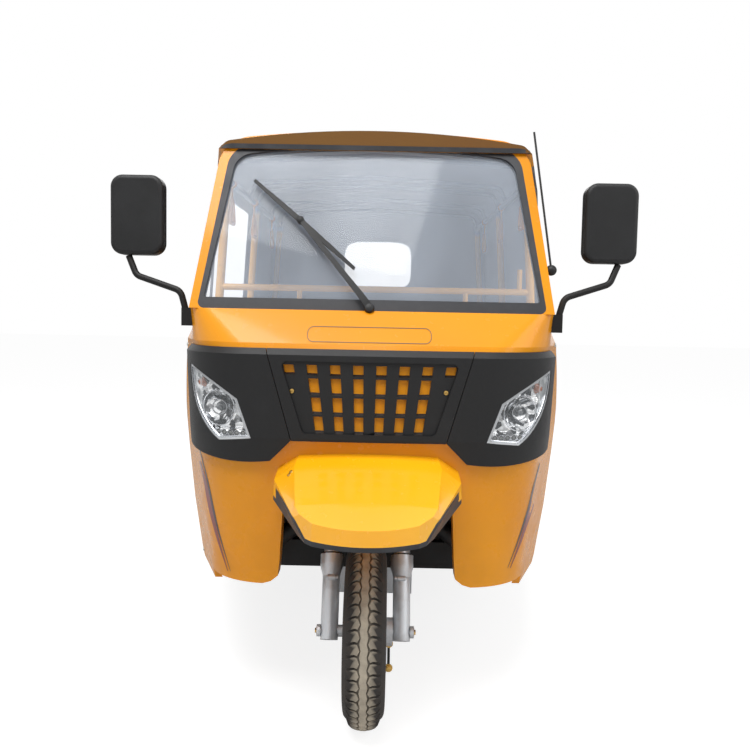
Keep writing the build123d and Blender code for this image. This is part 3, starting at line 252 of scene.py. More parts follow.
def clearPane(colour, low, high, rough):  # thin glass: nearly clear, with a painted sky reflection: a faint whiter film, whiter still at the rim seen edge-on
    def recipe(wire):
        skyReflectionPainted = wire.cloud(3.5, 3, scales=(1, 1, 0.5)).between(0.35, 0.75)
        rim = wire.add("LayerWeight", values={"Blend": 0.28}, out="Fresnel")
        # painted reflection: the film and the edge-on rim raise the alpha of a near white colour
        return {"Base Color": tint(*colour), "Alpha": low + skyReflectionPainted * (high - low) + rim * 0.35,
                "Roughness": rough + skyReflectionPainted * 0.05}
    return recipe


def lampGlass(wire):  # plain and clear, with a faint haze; whiter at its edge where seen edge-on, a painted reflection
    rim = wire.add("LayerWeight", values={"Blend": 0.12}, out="Fresnel")
    haze = wire.cloud(16, 3).between(0.4, 0.8)
    # painted reflection: the Fresnel rim raises the alpha of a near white colour
    return {"Base Color": tint(238, 243, 246), "Alpha": 0.05 + rim * 0.35 + haze * 0.04,
            "Roughness": 0.03 + haze * 0.04}


def bowlPaintedGlints(wire):  # facets: their light and dark are painted reflections in the colour
    shade = wire.add("SeparateColor", values={0: wire.cells(60, "Color")}, out="Red")
    sharp = shade.between(0.30, 0.62)
    # painted reflection: each cell takes near black or near white
    return {"Base Color": sharp.mix(tint(56, 58, 62), tint(250, 251, 252)), "Roughness": 0.05 + shade * 0.06,
            "bump": (wire.cells(60), 0.0016)}


def vinylSkin(colour, worn):
    def recipe(wire):
        crease = wire.cells(330)
        wear = wire.cloud(5, 4, 0.6).between(0.5, 0.8)
        return {"Base Color": (wear * 0.4).mix(tint(*colour), tint(*worn)),
                "Roughness": 0.46 + wear * 0.16 + crease * 0.1,
                "bump": (crease + wire.cloud(30, 3) * 0.6, 0.0006)}
    return recipe


def weave(colour, lighter, pitch, rough):  # coated cloth with its threads showing
    def recipe(wire):
        warp, weft = wire.along("X").wave(pitch), (wire.along("Y") + wire.along("Z")).wave(pitch)
        threads = warp.larger(weft)
        fade = wire.cloud(3, 4, 0.6).between(0.35, 0.75)
        return {"Base Color": (fade * 0.55 + threads * 0.05).mix(tint(*colour), tint(*lighter)),
                "Roughness": rough + fade * 0.1, "bump": (threads * 0.12 + wire.cloud(14, 3) * 1.5, 0.0006)}
    return recipe


def ribbedMat(wire):
    rib = wire.along("X").wave(0.018) ** 3
    dust = wire.cloud(8, 5, 0.6).between(0.4, 0.75)
    return {"Base Color": (dust * 0.5).mix(tint(86, 88, 90), tint(128, 120, 106)),
            "Roughness": 0.7 + dust * 0.15, "bump": (rib, 0.002)}


def lampRed(wire):
    flute = wire.along("Z").wave(0.008)
    return {"Base Color": flute.mix(tint(150, 12, 14), tint(196, 30, 24)), "Roughness": 0.16 + flute * 0.08,
            "bump": (flute, 0.0008)}


def plainGloss(colour, rough):
    lighter = [min(255, v + 14) for v in colour]

    def recipe(wire):
        return {"Base Color": wire.cloud(40, 3).mix(tint(*colour), tint(*lighter)),
                "Roughness": rough + wire.cloud(60, 2) * 0.06}
    return recipe


finish = {
    "yellow_paint": makeFinish("yellowPaint", paint((222, 140, 4), (232, 152, 8), dusty=0.14),
                               coat=0.25, coatRough=0.08, specular=0.25),
    "black_paint": makeFinish("blackPaint", castMetal((17, 16, 16), (48, 42, 36), 0.5), specular=0.3),
    "black_plastic": makeFinish("blackPlastic", grained((16, 16, 17), (36, 37, 39), 0.5, 900, 0.00022),
                                specular=0.35),
    "grey_floor": makeFinish("greyFloor", ribbedMat),
    "reflector": makeFinish("reflector", bowlPaintedGlints, metal=1.0),
    "lamp_case": makeFinish("lampCase", brushed((205, 208, 211), (150, 150, 150), 0.2), metal=0.75),
    "clear_lens": makeFinish("clearLens", lampGlass),
    "screen_glass": makeFinish("screenGlass", clearPane((226, 236, 250), 0.15, 0.24, 0.03), specular=0.6),
    "rubber": makeFinish("rubber", rubberSkin((40, 41, 45), (72, 73, 76), 0.42), specular=0.4),
    "tyre": makeFinish("tyreRubber", tyreRubber),
    "wheel_steel": makeFinish("wheelSteel", castMetal((176, 178, 180), (96, 84, 70), 0.36, 120, 0.0002),
                              metal=0.7),
    "cast_aluminium": makeFinish("castAluminium", castMetal((206, 209, 213), (120, 112, 102), 0.4),
                                 metal=0.5),
    "chrome_steel": makeFinish("chromeSteel", brushed((214, 216, 220), (130, 112, 92), 0.12), metal=1.0),
    "cast_steel": makeFinish("castSteel", castMetal((66, 66, 68), (98, 78, 58), 0.55, 160, 0.0006),
                             metal=0.5),
    "mirror": makeFinish("mirrorFace", brushed((236, 238, 240), (220, 222, 226), 0.02), metal=1.0),
    "seat_vinyl": makeFinish("seatVinyl", vinylSkin((38, 38, 41), (72, 70, 70)), sheen=0.1),
    "canopy_cloth": makeFinish("canopyCloth", weave((30, 31, 33), (60, 61, 64), 0.0024, 0.62), sheen=0.15),
    "red_lens": makeFinish("redLens", lampRed, coat=0.6),
}
extra = {  # finishes of pieces that are made here, and of nodes that differ from their slot
    # painted light: the beak's yellow is the body's yellow made brighter, as if lit from above
    "beak": makeFinish("beakPaintLit", paint((250, 172, 6), (254, 186, 22), 0.2, 0.5), coat=0.6, coatRough=0.05),
    "roof": makeFinish("roofPaintShadedBrow", roofPaintShadedBrow, coat=0.35, coatRough=0.08, specular=0.3),
    "frame": makeFinish("framePaint", framePaint),
    "lining": makeFinish("canopyLining", weave((186, 196, 210), (208, 215, 226), 0.003, 0.8), sheen=0.2),
    "brass": makeFinish("brassScrew", brushed((196, 160, 92), (120, 90, 52), 0.28), metal=1.0),
    "zinc": makeFinish("zincBolt", brushed((180, 180, 176), (110, 92, 70), 0.34), metal=1.0),
    "stripe": makeFinish("stripeRed", plainGloss((120, 34, 30), 0.3), coat=0.4),
    "stripeDark": makeFinish("stripeDark", plainGloss((52, 38, 46), 0.3), coat=0.4),
    "plateLine": makeFinish("plateLine", plainGloss((98, 74, 40), 0.36)),
    "amber": makeFinish("amberBulb", plainGloss((150, 84, 52), 0.2), coat=0.5),
    "bulb": makeFinish("bulbGlass", plainGloss((84, 88, 92), 0.08), coat=0.8),
    "amberLens": makeFinish("amberLens", plainGloss((214, 112, 18), 0.2), coat=0.5),
    "clearLens": makeFinish("reverseLens", plainGloss((214, 216, 218), 0.14), coat=0.5),
    "led": makeFinish("ledDome", plainGloss((108, 110, 108), 0.12), coat=0.8),
    "dial": makeFinish("dialFace", plainGloss((22, 23, 25), 0.4)),
    "dialMark": makeFinish("dialMark", plainGloss((226, 226, 220), 0.5)),
    "pvc": makeFinish("clearSheet", clearPane((240, 244, 248), 0.03, 0.09, 0.08), specular=0.5),
}
print("finishes made:", len(finish) + len(extra))
otherFinish = {"nose_fender": "beak", "rear_window": "pvc", "cab_roof": "roof", "body_frame": "frame"}


def dressNodes():
    for name, node in nodes.items():
        for holder in node.material_slots:
            plain = holder.material.name.split(".")[0]
            holder.material = extra[otherFinish[name]] if name in otherFinish else finish[plain]


dressNodes()


class Stock:  # gathers points and faces, then becomes one piece
    def __init__(self):
        self.points, self.faces = [], []

    def take(self, points, faces, matrix=None):
        start = len(self.points)
        self.points += [matrix @ Vector(p) if matrix else Vector(p) for p in points]
        self.faces += [tuple(start + i for i in face) for face in faces]
        return self

    def piece(self, name, material, body, slot=None, sharp=35):
        mesh = bpy.data.meshes.new(name)
        mesh.from_pydata([tuple(p) for p in self.points], [], self.faces)
        mesh.materials.append(material)
        mesh.polygons.foreach_set("use_smooth", [True] * len(mesh.polygons))
        tidy = bmesh.new()
        tidy.from_mesh(mesh)
        bmesh.ops.recalc_face_normals(tidy, faces=tidy.faces)
        tidy.to_mesh(mesh)
        tidy.free()
        mesh.set_sharp_from_angle(angle=math.radians(sharp))
        made = bpy.data.objects.new(name, mesh)
        scene.collection.objects.link(made)
        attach(made, body)
        return made


def gridFaces(rows, columns, closedRows=False, closedColumns=False):
    faces = []
    for i in range(rows if closedRows else rows - 1):
        for j in range(columns if closedColumns else columns - 1):
            k, m = (i + 1) % rows, (j + 1) % columns
            faces.append((i * columns + j, i * columns + m, k * columns + m, k * columns + j))
    return faces


def turned(profile, steps=24):  # profile of (radius, height) spun about z, closed at both ends
    points = [(r * math.cos(2 * math.pi * k / steps), r * math.sin(2 * math.pi * k / steps), h)
              for r, h in profile for k in range(steps)]
    faces = gridFaces(len(profile), steps, closedColumns=True)
    faces.append(tuple(range(steps))[::-1])
    faces.append(tuple((len(profile) - 1) * steps + k for k in range(steps)))
    return points, faces


def swept(path, section, closed=False, upright=Vector((0, 0, 1))):  # (side, up) points along a path
    path = [Vector(p) for p in path]
    count, points = len(path), []
    for i, spot in enumerate(path):
        before = path[i - 1 if closed or i else 0]
        after = path[(i + 1) % count if closed or i < count - 1 else i]
        ahead = (after - before).normalized()
        side = ahead.cross(upright)
        side = side.normalized() if side.length > 1e-6 else Vector((1, 0, 0))
        lift = side.cross(ahead).normalized()
        scale = section(i / max(count - 1, 1)) if callable(section) else section
        points += [spot + side * a + lift * b for a, b in scale]
    size = len(points) // count
    faces = gridFaces(count, size, closedRows=closed, closedColumns=True)
    if not closed:
        faces += [tuple(range(size))[::-1], tuple((count - 1) * size + k for k in range(size))]
    return points, faces


def circle(radius, steps, centre=(0, 0)):  # closed line of (side, up) points round a centre
    return [(centre[0] + radius * math.cos(2 * math.pi * k / steps),
             centre[1] + radius * math.sin(2 * math.pi * k / steps)) for k in range(steps)]


def slab(width, height):
    return [(side * width / 2, up * height / 2) for side, up in ((-1, -1), (1, -1), (1, 1), (-1, 1))]


def smoothLine(points, steps=8):  # a rounded line through the given points
    points = [Vector(p) for p in points]
    full = [points[0] * 2 - points[1], *points, points[-1] * 2 - points[-2]]
    line = []
    for a, b, c, d in zip(full, full[1:], full[2:], full[3:]):
        for k in range(steps):
            t = k / steps
            line.append(0.5 * (2 * b + (c - a) * t + (2 * a - 5 * b + 4 * c - d) * t * t
                               + (3 * b - a - 3 * c + d) * t ** 3))
    return line + [points[-1]]


def arcThrough(a, b, c, steps):  # points of the arc from a through b to c in a plane
    (ax, ay), (bx, by), (cx, cy) = a, b, c
    d = 2 * (ax * (by - cy) + bx * (cy - ay) + cx * (ay - by))
    aa, bb, cc = ax * ax + ay * ay, bx * bx + by * by, cx * cx + cy * cy
    ux = (aa * (by - cy) + bb * (cy - ay) + cc * (ay - by)) / d
    uy = (aa * (cx - bx) + bb * (ax - cx) + cc * (bx - ax)) / d
    first, middle, last = (math.atan2(y - uy, x - ux) for x, y in (a, b, c))
    radius = math.hypot(ax - ux, ay - uy)
    turn = (last - first) % (2 * math.pi)
    if (middle - first) % (2 * math.pi) > turn:
        turn -= 2 * math.pi
    angles = [first + turn * k / steps for k in range(steps + 1)]
    return [(ux + radius * math.cos(angle), uy + radius * math.sin(angle)) for angle in angles]


def skinOf(*names):
    points, faces = [], []
    for name in names:
        mesh = nodes[name].data
        start = len(points)
        points += [v.co.copy() for v in mesh.vertices]
        faces += [tuple(start + i for i in p.vertices) for p in mesh.polygons]
    return BVHTree.FromPolygons(points, faces)


def touch(skin, start, way):  # where a ray meets a skin, and the outward normal there
    spot, normal, _, _ = skin.ray_cast(Vector(start), Vector(way).normalized())
    if spot is None:
        return None, None
    return spot, normal if normal.dot(Vector(way)) < 0 else -normal


def fromFront(skin, x, z): return touch(skin, (x, -3, z), (0, 1, 0))


def standing(spot, normal, spin=0.0):  # matrix whose z is the normal at a spot
    turn = normal.to_track_quat("Z", "Y").to_matrix().to_4x4()
    return Matrix.Translation(spot) @ turn @ Matrix.Rotation(spin, 4, "Z")


def screwHead(radius):  # low dome with a rim
    height = radius * 0.55
    return turned([(radius, -0.002), (radius, height * 0.35), (radius * 0.86, height * 0.8),
                   (radius * 0.45, height), (radius * 0.4, height * 0.55)], 14)


def boltHead(radius):  # washer and hexagon
    points, faces = turned([(radius * 1.5, -0.002), (radius * 1.5, radius * 0.25)], 20)
    stock = Stock().take(points, faces)
    stock.take(*turned([(radius, 0), (radius, radius * 0.9), (radius * 0.8, radius * 1.05)], 6))
    return stock.points, stock.faces


def fixHeads(name, head, spots, material, body):  # one head at each spot, each turned a little further
    stock = Stock()
    for count, (spot, normal) in enumerate(spots):
        if spot is not None:
            stock.take(*head, standing(spot, normal, count * 0.7))
    return stock.piece(name, material, body)


tyre = {
    "radius": 0.250, "width": 0.110, "crownHalf": 0.030, "crownDrop": 0.006, "bellyRadius": 0.1995,
    "beadHalf": 0.039, "beadRadius": 0.149, "steps": 128, "pitches": 50,
    "depth": 0.0062, "shoulderFrom": 0.052, "shoulderRun": 0.016,  # the groove's floor rises at the shoulder
    "ribHalf": 0.0092, "ribSwing": 0.0016, "ribFlat": 0.86,
    # outline of one block: way out from the middle of the tread, way round
    "block": ((0.0108, 0.0010), (0.0165, 0.0118), (0.0240, 0.0098), (0.0330, 0.0118), (0.0440, 0.0150),
              (0.0590, 0.0150), (0.0590, -0.0050), (0.0440, -0.0074), (0.0330, -0.0132), (0.0240, -0.0152),
              (0.0165, -0.0132)),
    "blockMiddle": 0.030, "blockFall": 0.0030, "fallFrom": 0.050, "fallRun": 0.009,
    "blockEdge": 0.0012, "skim": 0.0002,  # bevel of a block, and how far its top stays under the outline
}


def tyreSection():  # outer line from the middle of the tread to the bead, as (side, radius)
    r, half = tyre["radius"], tyre["width"] / 2
    edge = (tyre["crownHalf"], r - tyre["crownDrop"])
    crown = arcThrough((0, r), (tyre["crownHalf"] * 0.5, r - tyre["crownDrop"] * 0.27), edge, 8)
    wall = arcThrough(edge, (half, tyre["bellyRadius"]), (tyre["beadHalf"], tyre["beadRadius"]), 16)
    return crown + wall[1:]


def sectionTable():
    line = [Vector((x, r)) for x, r in tyreSection()]
    reach, out = 0.0, []
    for i, spot in enumerate(line):
        if i:
            reach += (spot - line[i - 1]).length
        way = (line[min(i + 1, len(line) - 1)] - line[max(i - 1, 0)]).normalized()
        normal = Vector((-way.y, way.x))
        if normal.x < 0 or (i == 0 and normal.y < 0):
            normal = -normal if normal.y < 0 else normal
        out.append((reach, spot, normal))
    return out


sectionLine = sectionTable()


def onSection(reach, lift):  # side and radius at a distance from the middle of the tread
    for (r0, p0, n0), (r1, p1, n1) in zip(sectionLine, sectionLine[1:]):
        if reach <= r1 or r1 == sectionLine[-1][0]:
            t = min(max((reach - r0) / (r1 - r0), 0), 1)
            return p0.lerp(p1, t) + n0.lerp(n1, t).normalized() * lift


def aroundAxle(centre, side, radius, angle):
    x, y, z = centre
    return Vector((x + side, y + radius * math.sin(angle), z - radius * math.cos(angle)))


def makeTyre(name, node, body):
    low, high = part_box(node)
    centre = (low + high) / 2
    stock, steps = Stock(), tyre["steps"]
    profile = []
    for side in (-1, 1):
        half = []
        for reach, _, _ in sectionLine:
            shoulder = min(max((reach - tyre["shoulderFrom"]) / tyre["shoulderRun"], 0), 1)
            spot = onSection(reach, -tyre["depth"] * (1 - shoulder))
            half.append((side * spot.x, spot.y))
        profile += half[::-1] if side < 0 else half[1:]
    points = [aroundAxle(centre, x, r, 2 * math.pi * k / steps) for x, r in profile for k in range(steps)]
    stock.take(points, gridFaces(len(profile), steps, closedRows=True, closedColumns=True))
    stock.take(*ribMesh(centre))
    for side in (-1, 1):
        for k in range(tyre["pitches"]):
            base = 2 * math.pi * (k + (0.5 if side > 0 else 0)) / tyre["pitches"]
            stock.take(*lugMesh(centre, side, base))
    made = stock.piece(name, finish["tyre"], body, "tyre", sharp=28)
    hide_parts(node)


def ribMesh(centre):  # the middle rib, whose edges run in and out between the blocks
    bottom, edge, skim = -tyre["depth"] - 0.0008, -tyre["blockEdge"], -tyre["skim"]
    section = ((-1, bottom), (-1, edge), (-0.8, skim), (0, 0), (0.8, skim), (1, edge), (1, bottom))
    teeth, points = tyre["pitches"] * 4, []
    for k in range(teeth):
        for side, lift in section:
            swing = math.cos(2 * math.pi * (k / 4 - (0.5 if side > 0 else 0)))
            wide = tyre["ribHalf"] * tyre["ribFlat"]
            if abs(side) == 1:
                wide = tyre["ribHalf"] - tyre["ribSwing"] * swing
            radius = tyre["radius"] + skim + lift
            points.append(aroundAxle(centre, side * wide, radius, 2 * math.pi * k / teeth))
    return points, gridFaces(teeth, len(section), closedRows=True, closedColumns=True)


def lugMesh(centre, side, base):  # one arrow-shaped block beside the rib
    middle, points = tyre["blockMiddle"], []
    for sink, share in ((-tyre["depth"] - 0.001, 1.06), (-tyre["blockEdge"], 1.0), (-tyre["skim"], 0.90)):
        for reach, along in tyre["block"]:
            fall = tyre["blockFall"] * max(0.0, (reach - tyre["fallFrom"]) / tyre["fallRun"])
            spot = onSection(middle + (reach - middle) * share, sink - fall)
            points.append(aroundAxle(centre, side * spot.x, spot.y, base + along * share / tyre["radius"]))
    size = len(tyre["block"])
    faces = gridFaces(3, size, closedColumns=True)
    return points, faces + [tuple(range(2 * size, 3 * size)), tuple(range(size))[::-1]]


makeTyre("frontTread", "front_tyre", "front_wheel")
makeTyre("rearTreadLeft", "rear_tyre_left", "rear_wheel_left")
makeTyre("rearTreadRight", "rear_tyre_right", "rear_wheel_right")
print("tyres done")


cushion = {
    "voxel": 0.011, "steps": 20, "pressure": 4.0, "cap": 0.024, "shrink": 0.012, "corner": 0.030,
    "pinned": 0.016, "channelDepth": 0.006, "channelWidth": 0.010, "channels": 7, "driverChannels": 3,
}


def roundedBlock(low, high, corner):
    box = bmesh.new()
    bmesh.ops.create_cube(box, size=1.0)
    size, middle = high - low, (high + low) / 2
    for v in box.verts:
        v.co = Vector(v.co[i] * size[i] + middle[i] for i in range(3))
    bmesh.ops.bevel(box, geom=list(box.edges), offset=corner, segments=4, profile=0.5, affect="EDGES")
    return box


def applied(piece):
    graph = bpy.context.evaluated_depsgraph_get()
    graph.update()
    return bpy.data.meshes.new_from_object(piece.evaluated_get(graph))


def blowUp(piece, low, high, firm):  # swells a pad; firm is the axis and side that rests on something
    mesh = applied(piece)
    piece.modifiers.clear()
    piece.data = mesh
    rest = [v.co.copy() for v in mesh.vertices]
    axis, side = firm
    floor = low[axis] if side < 0 else high[axis]
    pin = piece.vertex_groups.new(name="pin")
    pin.add([i for i, p in enumerate(rest) if abs(p[axis] - floor) < cushion["pinned"]], 1.0, "REPLACE")
    cloth = piece.modifiers.new("swell", "CLOTH")
    cloth.settings.use_pressure = True
    cloth.settings.uniform_pressure_force = cushion["pressure"]
    cloth.settings.vertex_group_mass = "pin"
    cloth.settings.effector_weights.gravity = 0
    cloth.settings.quality = 4
    cloth.collision_settings.use_collision = False
    for step in range(1, cushion["steps"] + 1):
        scene.frame_set(step)
    swollen = applied(piece)
    moved = [v.co.copy() for v in swollen.vertices]
    piece.modifiers.clear()
    scene.frame_set(1)
    for v, start, end in zip(piece.data.vertices, rest, moved):
        way = end - start
        v.co = start + (way if way.length < cushion["cap"] else way.normalized() * cushion["cap"])


def makeCushion(name, low, high, firm, channels):
    gap = Vector((cushion["shrink"],) * 3)
    axis, side = firm
    gapLow, gapHigh = gap.copy(), gap.copy()
    if side < 0:
        gapLow[axis] = 0
    else:
        gapHigh[axis] = 0
    box = roundedBlock(low + gapLow, high - gapHigh, cushion["corner"])
    mesh = bpy.data.meshes.new(name)
    box.to_mesh(mesh)
    box.free()
    made = bpy.data.objects.new(name, mesh)
    scene.collection.objects.link(made)
    remesh = made.modifiers.new("even", "REMESH")
    remesh.mode, remesh.voxel_size = "VOXEL", cushion["voxel"]
    blowUp(made, low + gapLow, high - gapHigh, firm)
    for v in made.data.vertices:  # sewn channels run across the pad
        depth = max(math.exp(-((v.co.x - line) / cushion["channelWidth"]) ** 2) for line in channels)
        face = (v.co[axis] - low[axis]) if side < 0 else (high[axis] - v.co[axis])
        if face > (high - low)[axis] * 0.5:
            v.co[axis] += side * cushion["channelDepth"] * depth
    made.data.materials.append(finish["seat_vinyl"])
    made.data.polygons.foreach_set("use_smooth", [True] * len(made.data.polygons))
    finer = made.modifiers.new("finer", "SUBSURF")
    finer.levels = finer.render_levels = 1
    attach(made, "chassis")
    return made


def solidsOf(node):  # corners of each separate solid of a node
    mesh = nodes[node].data
    links = bmesh.new()
    links.from_mesh(mesh)
    bmesh.ops.remove_doubles(links, verts=links.verts, dist=1e-5)
    unseen, boxes = set(links.verts), []
    while unseen:
        stack, group = [unseen.pop()], []
        while stack:
            v = stack.pop()
            group.append(v.co.copy())
            for e in v.link_edges:
                other = e.other_vert(v)
                if other in unseen:
                    unseen.remove(other)
                    stack.append(other)
        boxes.append((Vector(min(p[i] for p in group) for i in range(3)),
                      Vector(max(p[i] for p in group) for i in range(3))))
    links.free()
    return sorted(boxes, key=lambda b: b[0].y)


def channelLines(name, low, high):
    count = cushion["driverChannels" if name.startswith("driver") else "channels"]
    return [low.x + (high.x - low.x) * (k + 1) / (count + 1) for k in range(count)]


def makeSeats():
    pads = [makeCushion(name, low, high, (2, -1), channelLines(name, low, high))
            for name, (low, high) in zip(("driverSeat", "jumpSeat", "rearBench"), solidsOf("seat_cushions"))]
    backs = [makeCushion(name, low, high, (1, 1), channelLines(name, low, high))
             for name, (low, high) in zip(("driverBack", "benchBack"), solidsOf("seat_backs"))]
    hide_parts("seat_cushions")
    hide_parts("seat_backs")


makeSeats()
print("seats done")


canopy = {
    # station behind the front axle, eaves side and height, shoulder side and height, crown height
    "rows": ((0.430, 0.494, 1.580, 0.468, 1.634, 1.673), (1.000, 0.612, 1.591, 0.578, 1.723, 1.760),
             (2.640, 0.612, 1.591, 0.574, 1.705, 1.738)),
    "bows": (0.430, 0.984, 1.500, 1.790, 2.200, 2.630), "partition": 1.000, "rear": 2.640, "step": 0.045,
    "sag": 0.007, "sagFrom": 1.57, "sagRun": 0.1, "topFrom": 1.65,
    "thick": 0.0022, "half": 0.650, "waist": 0.970, "doorStart": 1.040, "doorLength": 0.710,
    "skirt": (0.0, 0.25, 0.5, 0.75, 0.966),  # shares of the way up from the waist, the last at the door's top
}


def canopyRow(station):
    rows = canopy["rows"]
    for a, b in zip(rows, rows[1:]):
        if station <= b[0] or b is rows[-1]:
            t = (station - a[0]) / (b[0] - a[0])
            return [u + (v - u) * t for u, v in zip(a[1:], b[1:])]


def roofLine(station, steps=18):  # half of the roof from the eaves to the crown, as (side, height)
    eavesX, eavesZ, shoulderX, shoulderZ, crown = canopyRow(station)
    eaves, shoulder = Vector((eavesX, eavesZ)), Vector((shoulderX, shoulderZ))
    radius = (shoulderX ** 2 + (crown - shoulderZ) ** 2) / (2 * (crown - shoulderZ))
    line = [eaves.lerp(shoulder, t) for t in (0, 0.3, 0.55)]
    over = [Vector((x, crown - radius + math.sqrt(radius ** 2 - x * x)))
            for x in (shoulderX * (1 - 0.09 - k / steps * 0.91) for k in range(steps + 1))]
    for t in (0.25, 0.5, 0.75):  # rounds the shoulder
        line.append(line[2].lerp(shoulder, t).lerp(shoulder.lerp(over[0], t), t))
    return line + over


def sagAt(station):
    for a, b in zip(canopy["bows"], canopy["bows"][1:]):
        if a <= station <= b:
            return canopy["sag"] * math.sin(math.pi * (station - a) / (b - a)) ** 2
    return 0.0


def canopyStations():
    doorEnd = canopy["doorStart"] + canopy["doorLength"]
    marks = sorted({*canopy["bows"], canopy["partition"], canopy["doorStart"], doorEnd, canopy["rear"]})
    full = []
    for a, b in zip(marks, marks[1:]):
        count = max(1, round((b - a) / canopy["step"]))
        full += [a + (b - a) * k / count for k in range(count)]
    return full + [marks[-1]]


def sagged(x, z, station):  # a point of the cloth, drawn in and down between the bows
    sag, start = sagAt(station), canopy["sagFrom"]
    inward = sag * min(1.0, max(0.0, (z - start) / canopy["sagRun"])) + (0.5 * sag if z < start else 0)
    pull = 1 - 0.4 * inward / 0.6
    return Vector((x * pull, station - axleBehind, z - (inward if z > canopy["topFrom"] else 0)))


def isOpen(column, columns, middle):  # the cab's sides and the passengers' doorway have no cloth
    skirt = len(canopy["skirt"])
    low = column < skirt or column >= columns - 1 - skirt
    right = column < columns // 2
    door = right and canopy["doorStart"] < middle < canopy["doorStart"] + canopy["doorLength"]
    belowRail = column < skirt - 1 or column >= columns - skirt
    return low and (middle < canopy["partition"] or (door and belowRail))


def canopyCloth():
    stations, stock = canopyStations(), Stock()
    for station in stations:
        half = roofLine(station)
        bottom, eaves = Vector((canopy["half"], canopy["waist"])), half[0]
        side = [bottom.lerp(eaves, t) for t in canopy["skirt"]] + half
        line = [(-p.x, p.y) for p in side] + [(p.x, p.y) for p in side[-2::-1]]
        stock.points += [sagged(x, z, station) for x, z in line]
    columns = len(stock.points) // len(stations)
    for i, (a, b) in enumerate(zip(stations, stations[1:])):
        for j in range(columns - 1):
            if not isOpen(j, columns, (a + b) / 2):
                k = i * columns + j
                stock.faces.append((k, k + 1, k + 1 + columns, k + columns))
    return stock


def makeCanopy():
    stock = canopyCloth()
    made = stock.piece("canopyTop", finish["canopy_cloth"], "chassis", "canopy_cloth", sharp=60)
    made.data.materials.append(extra["lining"])
    loose = bmesh.new()
    loose.from_mesh(made.data)
    bmesh.ops.delete(loose, geom=[v for v in loose.verts if not v.link_faces], context="VERTS")
    loose.to_mesh(made.data)
    area = sum(f.calc_area() for f in loose.faces)
    loose.free()
    thick = made.modifiers.new("thick", "SOLIDIFY")
    thick.thickness, thick.offset, thick.material_offset = canopy["thick"], -1, 1
    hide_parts("canopy")


rearWindow = {"half": 0.1925, "tall": 0.134, "middle": 1.393, "squareness": 0.42, "count": 96, "rings": 8,
              "belly": 0.004}


def windowRing():  # rounded rectangle of the rear window, as (side, height)
    middle, power, out = rearWindow["middle"], rearWindow["squareness"], []
    for k in range(rearWindow["count"]):
        angle = 2 * math.pi * (k + 0.5) / rearWindow["count"]
        c, s = math.cos(angle), math.sin(angle)
        out.append(Vector((rearWindow["half"] * math.copysign(abs(c) ** power, c),
                           middle + rearWindow["tall"] * math.copysign(abs(s) ** power, s))))
    return out


def onOutline(outline, middle, way):  # where a line from the middle meets the outline
    best = None
    for a, b in zip(outline, outline[1:]):
        edge, start = b - a, a - middle
        det = way.x * -edge.y + way.y * edge.x
        if abs(det) < 1e-9:
            continue
        t = (start.x * -edge.y + start.y * edge.x) / det
        s = (way.x * start.y - way.y * start.x) / det
        if t > 0 and -1e-6 <= s <= 1 + 1e-6:
            best = middle + way * t
    return best


def makeRearCloth():
    stock, station, rings = Stock(), canopy["rear"], rearWindow["rings"]
    outline = [Vector((canopy["half"], canopy["waist"])), *roofLine(station)]
    outline += [Vector((-p.x, p.y)) for p in outline[-2::-1]]
    outline.append(outline[0])
    window, middle = windowRing(), Vector((0, rearWindow["middle"]))
    outer = []
    for spot in window:
        angle = math.atan2(spot.y - middle.y, spot.x)
        outer.append(onOutline(outline, middle, Vector((math.cos(angle), math.sin(angle)))))
    for r in range(rings):
        t = r / (rings - 1)
        belly = rearWindow["belly"] * math.sin(math.pi * t)
        for inner, edge in zip(window, outer):
            spot = inner.lerp(edge, t)
            stock.points.append(Vector((spot.x, station - axleBehind - 0.001 - belly, spot.y)))
    stock.faces += gridFaces(rings, rearWindow["count"], closedColumns=True)
    made = stock.piece("canopyBack", finish["canopy_cloth"], "chassis", "canopy_cloth", sharp=60)
    made.data.materials.append(extra["lining"])
    shape = bmesh.new()
    shape.from_mesh(made.data)
    area = sum(f.calc_area() for f in shape.faces)
    shape.free()
    thick = made.modifiers.new("thick", "SOLIDIFY")
    thick.thickness, thick.offset, thick.material_offset = canopy["thick"], 0, 1


makeCanopy()
makeRearCloth()
print("canopy done")


noseSkin = skinOf("front_fascia")
bodySkin = skinOf("front_fascia", "side_panels", "lamp_bands", "grille_panel", "nose_fender")
stripe = {
    # pixel of the 750 wide render, and width in pixels
    "left": ((197, 448, 0.8), (201, 464, 2.2), (205, 480, 3.4), (210, 505, 4.6), (215, 527, 3.6),
             (220, 545, 2.6), (228, 571, 0.8)),
    "right": ((545, 452, 0.8), (541, 468, 2.2), (536, 487, 3.4), (531, 508, 4.6), (525, 527, 3.6),
              (519, 545, 2.6), (510, 568, 0.8)),
    "redShare": 0.8, "darkShare": 0.45, "darkShift": 2.6, "lift": 0.0008,
}


def stripePiece(name, marks, material, shift, share):
    line = smoothLine([(px + shift, py, width * share) for px, py, width in marks], 6)
    points = []
    for px, py, width in line:
        for side in (-0.5, 0.5):
            spot, normal = touch(noseSkin, shot["eye"], throughPixel(px + side * width, py))
            if spot is None:
                break
            points.append(spot + normal * stripe["lift"])
    rows = len(points) // 2
    stock = Stock().take(points[:rows * 2], gridFaces(rows, 2))
    return stock.piece(name, material, "chassis")


def makeStripes():
    for side, inward in (("left", 1), ("right", -1)):
        stripePiece("stripeRed_" + side, stripe[side], extra["stripe"], 0, stripe["redShare"])
        stripePiece("stripeDark_" + side, stripe[side], extra["stripeDark"], inward * stripe["darkShift"],
                    stripe["darkShare"])


makeStripes()

nameFrame = {"left": -0.167, "right": 0.160, "low": 1.036, "high": 1.077, "corner": 0.017, "line": 0.0020,
             "cuts": 38, "lift": 0.0008}


